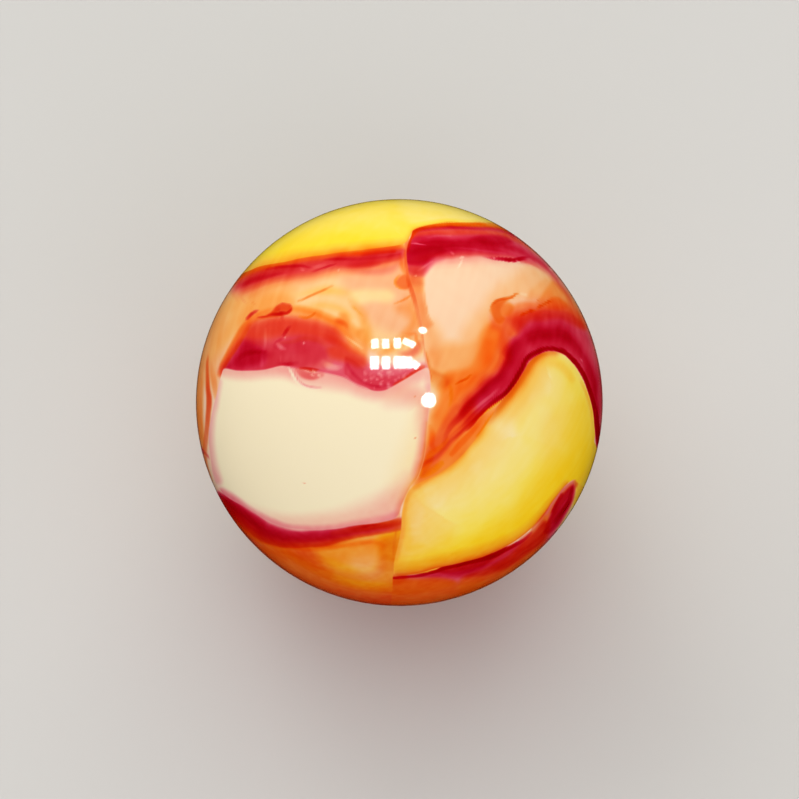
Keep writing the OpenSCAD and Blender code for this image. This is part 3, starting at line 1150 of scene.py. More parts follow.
    right: Pool = Pool((6, 0, 12), (
        # The far side: the cap's vein, amber glass, a flame of the main ribbon and the lower vein.
        Ribbon((
            (-260, 520, 96, 90), (-120, 545, 96, 90), (20, 552, 98, 100), (150, 556, 100, 110),
            (270, 566, 100, 110), (358, 588, 100, 100), (394, 620, 98, 90), (408, 652, 84, 80),
            (432, 676, 50, 60), (475, 688, 0, 50),
        ), (
            (50, 24, 8, 178), (38, 36, 12, 170), (25, 52, 40, 60), (14, 86, 20, 24), (0, 118, 0, 14),
            (-20, 124, 0, 10), (-38, 84, 0, 20), (-55, 44, 10, 30), (-90, 12, 10, 10), (-130, 0, 0, 0),
        ), streaks=Streaks(221, depth=0.12), side=Side.FAR),
        Wash((4, 30, 12), (
            (725, 345), (660, 330), (580, 330), (500, 300), (440, 200), (470, 80), (540, -40), (520, -160),
            (640, -220), (740, -200), (780, -180), (800, -60), (800, 80), (778, 200),
        ), 0.9, Side.FAR),
        Stroke((8, 52, 10), (
            (760, 240, 30, 60), (690, 220, 80, 80), (600, 170, 100, 90), (540, 90, 90, 80),
            (540, 0, 70, 60), (570, -80, 60, 50), (620, -150, 30, 40),
        ), core=0.0, streaks=Streaks(223), side=Side.FAR),
        Stroke((100, 0, 0), (
            (788, -120, 60, 10), (784, -150, 120, 18), (770, -180, 126, 32), (730, -200, 126, 42),
            (650, -215, 124, 46), (560, -222, 122, 46), (460, -206, 112, 44), (370, -168, 94, 42),
            (295, -110, 70, 38), (240, -40, 36, 34), (225, 20, 8, 28),
        ), core=0.0, streaks=Streaks(225, depth=0.1), side=Side.FAR),
        Stroke((6, 84, 0), (
            (745, -90, 60, 60), (680, -150, 90, 56), (580, -180, 100, 52), (470, -160, 100, 46),
            (370, -110, 86, 38), (290, -30, 60, 28), (260, 60, 30, 20),
        ), core=0.1, streaks=Streaks(226), side=Side.FAR),
        Ribbon((
            (-260, -372, 96, 100), (-150, -378, 100, 100), (-40, -396, 104, 105), (80, -412, 104, 105),
            (200, -418, 104, 100), (330, -408, 100, 95), (450, -384, 100, 95), (560, -360, 104, 95),
            (650, -335, 110, 90), (700, -325, 110, 80),
        ), (
            (45, 6, 0, 0), (28, 38, 0, 0), (18, 94, 0, 6), (0, 128, 0, 18), (-14, 112, 0, 60),
            (-30, 88, 0, 120), (-50, 60, 20, 130), (-80, 36, 30, 110), (-130, 20, 20, 70), (-180, 0, 0, 0),
        ), streaks=Streaks(227, depth=0.1), side=Side.FAR),
        Wash((10, 46, 60), (
            (-260, -400), (-60, -410), (100, -430), (260, -430), (420, -400), (580, -370), (700, -335),
            (722, -345), (640, -480), (500, -625), (350, -720), (160, -785), (0, -800), (-260, -756),
        ), 0.5, Side.FAR),
        Wash((40, 0, 100), (
            (-260, -500), (-60, -500), (200, -520), (400, -500), (540, -450), (640, -400), (690, -390),
            (640, -480), (500, -625), (350, -720), (160, -785), (0, -800), (-260, -756),
        ), 0.8, Side.FAR),
        # Top ribbon.
        Ribbon((
            (30, 590, 60, 90), (50, 602, 90, 95), (80, 612, 100, 100), (120, 618, 100, 100),
            (200, 621, 100, 100), (260, 622, 98, 100), (320, 622, 94, 98), (380, 618, 88, 95),
            (430, 608, 78, 88), (480, 590, 66, 72), (520, 570, 56, 52), (560, 545, 45, 40),
            (600, 508, 30, 34), (650, 440, 18, 34), (700, 350, 10, 34),
        ), (
            (160, 0, 0, 0), (100, 0, 50, 60), (85, 8, 60, 60), (78, 28, 25, 150), (73, 58, 0, 140),
            (67, 78, 0, 30), (60, 52, 35, 0), (50, 48, 66, 0), (42, 58, 45, 0), (36, 66, 10, 0),
            (28, 85, 0, 0), (18, 112, 0, 0), (10, 138, 0, 0), (0, 142, 0, 0), (-12, 130, 0, 0),
            (-22, 105, 0, 8), (-32, 82, 0, 30), (-42, 62, 0, 42), (-50, 36, 0, 30), (-58, 19, 0, 15),
            (-75, 9, 0, 10), (-100, 4, 0, 8), (-150, 0, 0, 0),
        ), streaks=Streaks(61, depth=0.1)),
        Wash((122, 0, 0), (
            (24, 606), (46, 606), (72, 612), (100, 612), (140, 620), (190, 600), (178, 584), (150, 575),
            (132, 564), (112, 550), (88, 540), (30, 542), (18, 560),
        ), 0.14),
        Wash((62, 0, 0), (
            (30, 560), (32, 620), (46, 640), (72, 660), (110, 655), (160, 625), (208, 590), (186, 568),
            (150, 556), (122, 536), (104, 512), (88, 498), (50, 498), (20, 520),
        ), 0.18),
        Wash((26, 4, 50), ((20, 540), (96, 540), (94, 490), (92, 462), (50, 458), (30, 490)), 0.22),
        Stroke((60, 0, 0), (
            (48, 640, 60, 9), (70, 646, 100, 12), (95, 650, 80, 12), (130, 660, 50, 9),
        ), core=0.1),
        Stroke((70, 0, 0), (
            (60, 668, 40, 7), (90, 677, 80, 8), (140, 685, 105, 10), (190, 688, 115, 10),
            (225, 688, 120, 9), (260, 686, 90, 8), (310, 684, 80, 8), (360, 680, 50, 7),
        )),
        Stroke((26, 0, 196), (
            (30, 596, 60, 7), (36, 622, 90, 9), (44, 646, 105, 11), (58, 670, 110, 12), (88, 686, 108, 12),
            (130, 694, 108, 12), (180, 698, 108, 12), (240, 700, 100, 11), (310, 699, 80, 10),
            (360, 696, 50, 8),
        )),
        Stroke((0, 90, 0), ((265, 703, 60, 7), (300, 704, 105, 8), (340, 701, 80, 7))),
        Wash((104, 0, 0), (
            (270, 640), (310, 658), (370, 660), (420, 652), (450, 628), (400, 618), (330, 622),
        ), 0.12),
        Stroke((80, 0, 0), (
            (330, 577, 40, 8), (370, 569, 90, 9), (400, 566, 150, 10), (430, 563, 200, 11),
            (460, 564, 200, 10), (485, 569, 160, 9), (510, 573, 80, 8),
        )),
        # Peach patch, with the narrow strip beside the fold.
        Wash((16, 24, 42), (
            (25, 495), (90, 495), (96, 440), (104, 390), (116, 340), (134, 306), (100, 286), (72, 330),
            (58, 380), (40, 440),
        ), 0.14),
        Stroke((14, 10, 40), (
            (94, 490, 40, 5), (97, 440, 80, 5), (103, 390, 90, 5), (115, 340, 90, 5), (135, 308, 50, 6),
        )),
        Wash((6, 0, 40), ((24, 520), (92, 520), (100, 460), (92, 430), (36, 450)), 0.12),
        Wash((8, 28, 20), (
            (85, 300), (130, 315), (165, 260), (180, 190), (160, 120), (122, 80), (105, 140),
        ), 0.4),
        Stroke((18, 8, 66), (
            (98, 205, 60, 10), (112, 165, 80, 12), (124, 128, 100, 16), (150, 110, 110, 24),
            (178, 98, 100, 24), (184, 75, 110, 20), (168, 62, 60, 14),
        ), core=0.0),
        Wash((20, 0, 84), (
            (116, 120), (150, 122), (188, 106), (204, 84), (184, 56), (142, 52), (124, 80),
        ), 0.34),
        Stroke((8, 0, 92), ((193, 78, 50, 9), (202, 52, 100, 11), (203, 18, 100, 10), (196, -12, 50, 8))),
        Wash((5, 38, 16), (
            (112, 200), (170, 235), (240, 240), (300, 260), (340, 330), (370, 350), (380, 250), (340, 180),
            (280, 130), (200, 110), (130, 120),
        ), 0.35),
        Wash((0, 22, 5), (
            (280, 330), (330, 380), (360, 430), (420, 480), (520, 545), (600, 510), (640, 420), (560, 390),
            (480, 400), (420, 380), (350, 300), (290, 240), (240, 250),
        ), 0.4),
        Wash((0, 36, 0), (
            (500, 430), (540, 470), (590, 500), (640, 460), (600, 400), (540, 400), (500, 400),
        ), 0.2),
        Wash((0, 66, 0), (
            (420, 335), (435, 375), (480, 395), (540, 395), (545, 355), (500, 335), (465, 305),
        ), 0.14),
        Wash((0, 82, 0), (
            (410, 296), (428, 345), (470, 366), (520, 372), (560, 364), (556, 344), (520, 330), (490, 302),
            (466, 268), (440, 256), (418, 262),
        ), 0.14),
        Wash((0, 72, 0), (
            (535, 362), (550, 410), (580, 455), (600, 482), (635, 462), (680, 410), (715, 345), (738, 290),
            (700, 300), (660, 345), (600, 356),
        ), 0.12),
        Wash((0, 112, 0), ((578, 372), (585, 402), (620, 418), (662, 392), (662, 368), (620, 362)), 0.1),
        # Amber glass between the peach patch and the main ribbon.
        Wash((0, 108, 0), (
            (60, -335), (88, -220), (104, -140), (124, -60), (148, 0), (158, 50), (176, 108), (195, 126),
            (235, 134), (268, 142), (292, 176), (310, 232), (330, 290), (362, 316), (402, 304), (424, 240),
            (430, 180), (405, 138), (360, 95), (318, 55), (290, 10), (300, -40), (350, -30), (405, 5),
            (450, 55), (480, 100), (470, 20), (415, -75), (350, -130), (292, -198), (226, -252),
            (150, -306),
        ), 0.26),
        Wash((0, 40, 5), (
            (200, 130), (225, 160), (260, 200), (290, 260), (320, 320), (350, 330), (330, 250), (310, 180),
            (280, 130), (230, 110),
        ), 0.4),
        Wash((0, 70, 0), (
            (310, 240), (335, 300), (375, 335), (420, 335), (425, 280), (420, 220), (380, 200), (330, 200),
        ), 0.2),
        Wash((0, 142, 0), (
            (330, 250), (378, 250), (380, 190), (362, 150), (332, 115), (310, 95), (280, 60), (250, 38),
            (218, 0), (205, 10), (222, 52), (250, 88), (290, 112), (310, 145), (322, 195),
        ), 0.3),
        Stroke((0, 130, 0), (
            (122, -95, 60, 18), (128, -130, 105, 22), (126, -165, 105, 20), (140, -190, 60, 14),
        ), core=0.2),
        Stroke((0, 145, 0), (
            (325, -72, 50, 12), (300, -98, 95, 15), (270, -135, 105, 20), (235, -172, 105, 20),
            (205, -205, 90, 16),
        ), core=0.3),
        Stroke((0, 0, 100), (
            (190, -150, 60, 14), (160, -180, 100, 16), (125, -200, 130, 18), (115, -225, 160, 22),
            (100, -255, 130, 20), (88, -285, 120, 18), (130, -265, 150, 20), (165, -238, 110, 14),
        ), core=0.3),
        Stroke((0, 0, 100), (
            (416, 16, 60, 6), (392, 4, 140, 7), (359, -19, 150, 8), (329, -42, 150, 9), (304, -66, 140, 9),
            (279, -89, 60, 8),
        )),
        Stroke((0, 0, 100), (
            (436, 22, 90, 8), (412, -14, 150, 9), (378, -44, 150, 9), (346, -84, 130, 9),
            (310, -128, 110, 8),
        )),
        # Red fringes of the main ribbon.
        Wash((22, 30, 0), (
            (390, 195), (395, 265), (402, 310), (412, 338), (440, 338), (455, 318), (465, 290), (438, 250),
            (425, 210), (402, 170), (385, 150),
        ), 0.16),
        Wash((0, 62, 0), (
            (375, 225), (380, 300), (400, 345), (440, 350), (480, 360), (550, 372), (640, 395), (700, 360),
            (740, 300), (700, 300), (640, 330), (560, 325), (500, 318), (470, 290), (440, 250), (425, 215),
            (400, 190),
        ), 0.16),
        Wash((17, 0, 0), (
            (355, 300), (360, 370), (385, 402), (425, 400), (470, 368), (520, 372), (620, 384), (690, 362),
            (740, 290), (640, 330), (480, 330), (440, 270), (400, 200), (350, 130), (300, 100), (340, 130),
            (375, 200), (385, 270),
        ), 0.2),
        Wash((22, 54, 80), (
            (359, 364), (365, 382), (378, 396), (394, 402), (415, 409), (435, 411), (425, 400), (410, 385),
            (402, 365), (405, 345), (415, 330), (400, 310), (380, 315), (366, 340),
        ), 0.09),
        Wash((0, 56, 50), ((398, 345), (402, 382), (428, 394), (450, 378), (444, 352), (422, 338)), 0.1),
        Stroke((30, 20, 110), (
            (356, 352, 20, 6), (359, 366, 50, 7), (366, 383, 90, 8), (380, 397, 110, 9), (398, 404, 120, 9),
            (420, 408, 120, 8), (440, 413, 110, 7), (456, 424, 90, 6), (471, 432, 30, 5),
        )),
        Stroke((45, 0, 150), (
            (474, 340, 30, 5), (482, 346, 90, 7), (492, 351, 105, 8), (505, 356, 80, 7), (518, 362, 100, 8),
            (532, 364, 40, 5),
        )),
        Stroke((35, 10, 120), (
            (542, 370, 40, 5), (553, 379, 105, 8), (568, 386, 80, 7), (584, 394, 105, 8), (600, 400, 50, 5),
        )),
        Stroke((20, 10, 50), ((538, 392, 40, 4), (545, 402, 100, 5), (552, 412, 40, 4))),
        Stroke((20, 0, 140), ((224, 74, 60, 6), (245, 86, 110, 7), (265, 96, 110, 7), (282, 110, 60, 6))),
        # Main ribbon: a dark line along the yellow patch, and the stripes beside it.
        Stroke((100, 0, 0), (
            (266, -104, 20, 9), (283, -85, 50, 11), (315, -50, 90, 12), (343, -19, 115, 12),
            (371, 4, 145, 12), (388, 17, 180, 12), (401, 25, 195, 12), (430, 50, 200, 12),
            (456, 85, 200, 12), (481, 132, 200, 12), (500, 168, 195, 12), (535, 194, 195, 12),
            (589, 212, 195, 12), (643, 202, 195, 12), (680, 171, 190, 12), (708, 136, 190, 12),
            (732, 94, 195, 12), (750, 48, 200, 12), (762, 10, 200, 13), (772, -32, 200, 14),
            (777, -79, 195, 14), (781, -120, 190, 13), (782, -155, 170, 11), (780, -185, 60, 8),
        ), core=0.42),
        Ribbon((
            (225, -125, 0, 90), (255, -100, 30, 90), (279, -81, 58, 95), (311, -46, 84, 100),
            (339, -15, 96, 100), (367, 8, 102, 102), (395, 31, 102, 102), (423, 57, 100, 98),
            (451, 90, 100, 96), (479, 134, 98, 100), (500, 169, 96, 128), (530, 192, 60, 132),
            (555, 206, 0, 132),
        ), (
            (-20, 0, 0, 0), (-12, 90, 0, 0), (4, 95, 0, 0), (12, 104, 0, 0), (24, 108, 0, 0),
            (33, 122, 0, 0), (42, 142, 0, 0), (56, 146, 0, 0), (62, 124, 0, 0), (68, 88, 0, 0),
            (75, 50, 0, 0), (84, 26, 0, 0), (98, 12, 0, 0), (125, 0, 0, 0),
        ), streaks=Streaks(81, depth=0.07)),
        Ribbon((
            (505, 175, 0, 115), (535, 195, 80, 112), (560, 208, 100, 105), (589, 213, 100, 100),
            (620, 210, 98, 100), (643, 202, 94, 92), (662, 190, 84, 80), (680, 171, 80, 70),
            (708, 136, 76, 56), (732, 94, 88, 46), (750, 48, 94, 38), (762, 10, 84, 28), (772, -32, 70, 20),
            (777, -79, 60, 14), (781, -120, 40, 10),
        ), (
            (-20, 0, 0, 0), (-12, 90, 0, 0), (4, 96, 0, 0), (12, 96, 0, 0), (20, 98, 0, 0), (30, 114, 0, 0),
            (42, 132, 0, 0), (52, 146, 0, 0), (70, 146, 0, 0), (80, 116, 0, 0), (95, 90, 0, 0),
            (112, 76, 0, 0), (130, 66, 0, 0), (145, 50, 0, 0), (156, 30, 0, 0), (172, 18, 0, 0),
            (200, 8, 0, 0), (240, 0, 0, 0),
        ), streaks=Streaks(83, depth=0.07)),
        Stroke((26, 30, 60), (
            (101, 199, 60, 7), (110, 150, 100, 9), (120, 110, 90, 8), (125, 81, 50, 6),
        ), core=0.1),
        # Its two threads, run out into amber.
        Stroke((100, 0, 0), (
            (290, 10, 60, 20), (262, -28, 75, 22), (235, -60, 60, 22), (205, -90, 42, 22),
            (185, -125, 38, 20), (170, -160, 24, 18),
        ), core=0.1, streaks=Streaks(85)),
        Stroke((100, 0, 0), (
            (300, -62, 70, 14), (272, -84, 55, 16), (240, -118, 42, 17), (205, -150, 34, 18),
            (170, -185, 32, 20), (140, -210, 38, 22), (108, -232, 38, 20), (90, -255, 25, 18),
        ), core=0.1, streaks=Streaks(87)),
        Wash((20, 0, 0), (
            (240, -10), (262, -70), (255, -110), (215, -150), (175, -200), (140, -250), (85, -300),
            (75, -290), (95, -200), (140, -130), (180, -60), (210, -10),
        ), 0.16),
        Wash((10, 30, 100), ((-60, -470), (30, -470), (30, -690), (-60, -690)), 0.1),
        # Red edge under the yellow patch, and the lens at its right end.
        Stroke((100, 0, 0), (
            (-50, -692, 110, 7), (-12, -690, 110, 7), (30, -686, 120, 8), (70, -682, 130, 8),
            (110, -674, 140, 8), (150, -662, 150, 9), (175, -651, 180, 10), (220, -642, 190, 11),
            (270, -631, 190, 12), (320, -620, 190, 13), (355, -609, 190, 14), (390, -593, 180, 14),
            (420, -577, 160, 13), (455, -560, 140, 11), (490, -540, 100, 9), (520, -512, 60, 7),
        ), core=0.45),
        Stroke((0, 0, 130), (
            (0, -672, 90, 12), (100, -664, 100, 12), (200, -648, 100, 12), (300, -624, 100, 12),
            (380, -594, 100, 12), (450, -560, 80, 10),
        ), core=0.4),
        Wash((112, 0, 0), (
            (140, -664), (200, -648), (270, -634), (340, -614), (400, -590), (375, -612), (330, -650),
            (270, -674), (200, -680),
        ), 0.1),
        Wash((84, 0, 0), (
            (60, -684), (150, -662), (260, -638), (350, -612), (420, -575), (480, -546), (530, -505),
            (570, -460), (600, -500), (560, -560), (500, -600), (440, -645), (370, -672), (280, -690),
            (160, -692),
        ), 0.14),
        Stroke((0, 0, 70), (
            (160, -668, 50, 9), (230, -658, 100, 13), (310, -640, 100, 15), (380, -612, 70, 13),
            (430, -585, 30, 9),
        ), core=0.1),
        Wash((44, 0, 0), (
            (-40, -690), (100, -680), (250, -660), (420, -600), (520, -540), (620, -500), (660, -600),
            (460, -760), (250, -850), (100, -870), (-60, -870),
        ), 0.15),
        Wash((45, 0, 0), (
            (60, -690), (150, -680), (250, -660), (420, -600), (560, -520), (600, -540), (480, -620),
            (360, -690), (250, -712), (120, -712),
        ), 0.3),
        Wash((116, 0, 0), (
            (688, -324), (668, -334), (640, -362), (612, -402), (595, -440), (575, -480), (565, -510),
            (585, -520), (620, -492), (650, -448), (676, -400), (688, -360),
        ), 0.09),
        Stroke((100, 0, 0), (
            (680, -335, 130, 8), (672, -375, 140, 14), (655, -410, 150, 14), (632, -440, 140, 14),
            (612, -470, 120, 14),
        )),
        Stroke((0, 0, 90), (
            (680, -326, 80, 8), (652, -352, 100, 10), (622, -388, 100, 10), (598, -425, 100, 10),
            (572, -470, 90, 10), (545, -505, 80, 10),
        ), core=0.2),
        Stroke((100, 0, 0), ((640, -365, 110, 12), (622, -395, 120, 12), (605, -430, 105, 12))),
        Wash((36, 0, 40), (
            (470, -545), (520, -500), (560, -445), (590, -400), (625, -350), (660, -322), (690, -306),
            (700, -330), (640, -400), (600, -480), (540, -550),
        ), 0.08),
        Stroke((30, 60, 40), (
            (518, -498, 60, 6), (545, -465, 100, 7), (575, -425, 110, 7), (600, -385, 100, 7),
            (618, -362, 50, 6),
        )),
        Wash((0, 0, 150), (
            (500, -530), (545, -480), (570, -440), (590, -455), (590, -500), (560, -575), (500, -640),
            (440, -690), (370, -740), (280, -790), (230, -740), (250, -690), (330, -660), (420, -612),
            (470, -565),
        ), 0.16),
        Wash((0, 0, 190), (
            (-60, -700), (60, -694), (150, -692), (220, -708), (200, -730), (100, -750), (-60, -755),
        ), 0.14),
        Wash((0, 0, 160), (
            (-60, -735), (120, -732), (220, -712), (330, -690), (340, -760), (200, -870), (-60, -880),
        ), 0.2),
        Stroke((0, 0, 40), (
            (690, -350, 60, 7), (680, -400, 100, 8), (655, -450, 100, 8), (622, -500, 60, 8),
        )),
        Wash((0, 6, 130), (
            (688, -300), (715, -290), (745, -300), (742, -345), (715, -405), (690, -440), (684, -405),
            (694, -350),
        ), 0.09),
    ), clear=(
        Stroke((62, 62, 62), ((50, 626, 60, 5), (66, 625, 100, 6), (88, 621, 100, 5), (106, 620, 40, 4))),
        Stroke((16, 16, 16), ((112, 648, 30, 5), (150, 655, 100, 6), (200, 657, 90, 6))),
        Stroke((18, 18, 18), (
            (180, 604, 30, 6), (220, 609, 90, 6), (280, 606, 100, 6), (340, 597, 100, 6), (420, 588, 60, 6),
        )),
        Stroke((30, 30, 30), ((70, 520, 30, 6), (100, 540, 90, 6), (130, 557, 60, 5))),
        Stroke((50, 50, 50), ((63, 500, 100, 7),)),
        # Painted sparkle highlights: two light specks where small pits in the top ribbon glint.
        Stroke((50, 50, 50), ((205, 590, 60, 7), (213, 585, 100, 7))),
        Stroke((60, 60, 60), ((243, 568, 80, 7), (250, 571, 100, 7))),
        Stroke((75, 75, 75), ((231, 532, 60, 5), (240, 546, 90, 5), (247, 558, 50, 5))),
        # Painted sparkle highlights: light specks where small pits glint, in the top ribbon, near the right
        # rim and on the lens.
        Stroke((60, 60, 60), ((372, 568, 100, 6),)),
        Stroke((70, 70, 70), ((460, 560, 80, 6), (468, 557, 80, 6))),
        Stroke((45, 45, 45), ((717, 165, 100, 8),)),
        Stroke((50, 50, 50), ((592, 527, 70, 6), (600, 522, 100, 6))),
        Stroke((70, 70, 70), ((502, -508, 60, 6), (514, -498, 100, 7))),
        Stroke((60, 60, 60), ((424, -566, 60, 6), (438, -558, 100, 7), (452, -550, 60, 6))),
        Stroke((30, 45, 30), ((480, 428, 60, 9), (497, 426, 100, 10))),
        Stroke((40, 0, 0), (
            (395, 58, 30, 7), (375, 42, 80, 9), (354, 23, 100, 10), (326, 0, 100, 10), (295, -28, 100, 10),
            (262, -60, 90, 10), (225, -98, 80, 9), (195, -130, 50, 8),
        )),
    ))

    milky: Pool = Pool((0, 0, 2), (
        # Pink veils under the red patch.
        Stroke((60, 25, 0), (
            (-700, 130, 20, 45), (-600, 122, 24, 50), (-505, 128, 24, 52), (-440, 130, 26, 60),
            (-360, 120, 26, 80), (-280, 110, 26, 85), (-200, 90, 26, 75), (-140, 60, 24, 65),
            (-80, 44, 22, 60), (0, 66, 22, 60), (85, 120, 20, 60), (120, 100, 18, 60),
        ), core=0.0),
        Stroke((100, 0, 0), (
            (-450, 146, 20, 10), (-410, 142, 50, 12), (-350, 138, 70, 16), (-290, 128, 50, 18),
            (-240, 116, 50, 16), (-205, 100, 40, 12), (-160, 72, 30, 10), (-120, 54, 20, 9),
        ), core=0.2),
        Stroke((12, 0, 10), (
            (-40, 20, 60, 70), (40, 30, 100, 80), (100, 0, 90, 70), (100, -100, 60, 60),
        ), core=0.0),
        Stroke((100, 0, 5), (
            (-716, 80, 14, 30), (-732, 0, 16, 34), (-746, -60, 16, 36), (-752, -150, 15, 36),
            (-740, -240, 15, 36), (-715, -310, 16, 30),
        ), core=0.0),
        Stroke((9, 6, 2), (
            (-640, -400, 30, 40), (-520, -455, 60, 50), (-400, -478, 80, 60), (-270, -478, 90, 80),
            (-150, -455, 100, 95), (-60, -420, 110, 100), (0, -370, 100, 90), (40, -320, 70, 80),
        ), core=0.0),
        Stroke((5, 26, 8), (
            (112, 20, 30, 30), (110, -80, 60, 36), (102, -170, 80, 46), (88, -240, 100, 52),
            (62, -300, 100, 50), (30, -350, 100, 46), (10, -410, 90, 42), (4, -455, 80, 36),
        ), core=0.0),
        Stroke((0, 9, 5), (
            (100, 0, 60, 90), (96, -100, 80, 110), (80, -200, 100, 130), (50, -290, 100, 140),
            (10, -370, 100, 120),
        ), core=0.0),
        Stroke((100, 8, 4), (
            (-700, -352, 34, 26), (-640, -390, 30, 28), (-590, -425, 28, 28), (-520, -462, 27, 28),
            (-450, -488, 25, 28), (-370, -498, 24, 30), (-260, -496, 22, 34), (-170, -484, 21, 42),
            (-80, -470, 21, 52), (-10, -450, 24, 55), (10, -400, 18, 45), (35, -350, 12, 36),
        ), core=0.0),
        Stroke((100, 0, 0), (
            (118, 60, 14, 40), (120, -10, 14, 40), (108, -108, 18, 45), (100, -206, 22, 50),
            (76, -287, 20, 50),
        ), core=0.0),
        Stroke((0, 60, 50), (
            (112, -80, 60, 16), (104, -170, 80, 20), (92, -230, 80, 22), (70, -292, 90, 20),
            (40, -335, 60, 18), (15, -400, 60, 16), (8, -450, 90, 18),
        ), core=0.0),
        # Specks of grit.
        Stroke((24, 10, 40), ((58, 23, 100, 5),), core=0.1),
        Stroke((24, 10, 40), ((62, -138, 100, 5),), core=0.1),
        Stroke((24, 10, 40), ((-376, -316, 100, 5),), core=0.1),
        # A blister at the edge, seen through a skin of white glass.
        Stroke((36, 10, 14), (
            (-400, 132, 80, 18), (-375, 112, 100, 24), (-340, 104, 100, 24), (-305, 112, 70, 18),
        ), core=0.3),
        Stroke((66, 44, 40), (
            (-388, 138, 60, 12), (-362, 140, 100, 16), (-335, 132, 80, 16), (-315, 140, 60, 12),
        ), core=0.3),
        Stroke((35, 0, 0), ((-300, 150, 60, 12), (-270, 142, 100, 18), (-240, 140, 80, 16)), core=0.3),
        Stroke((24, 0, 5), ((-398, 90, 50, 9), (-380, 72, 80, 10), (-350, 62, 70, 10), (-310, 60, 40, 9))),
        Stroke((26, 0, 5), ((-415, 120, 70, 6), (-403, 98, 80, 6), (-395, 85, 40, 5))),
    ), clear=(
        Stroke((85, 85, 85), (
            (-436, 138, 60, 6), (-424, 118, 100, 8), (-412, 98, 100, 9), (-398, 80, 100, 7),
            (-375, 63, 100, 7), (-345, 54, 80, 6), (-315, 52, 40, 5),
        )),
        # Painted highlights: three white glints inside the blister.
        Stroke((60, 60, 60), ((-338, 128, 90, 7), (-332, 122, 90, 6))),
        Stroke((55, 55, 55), ((-344, 110, 100, 7), (-336, 106, 70, 6))),
        Stroke((55, 55, 55), ((-316, 110, 100, 7), (-312, 104, 70, 6))),
    ))

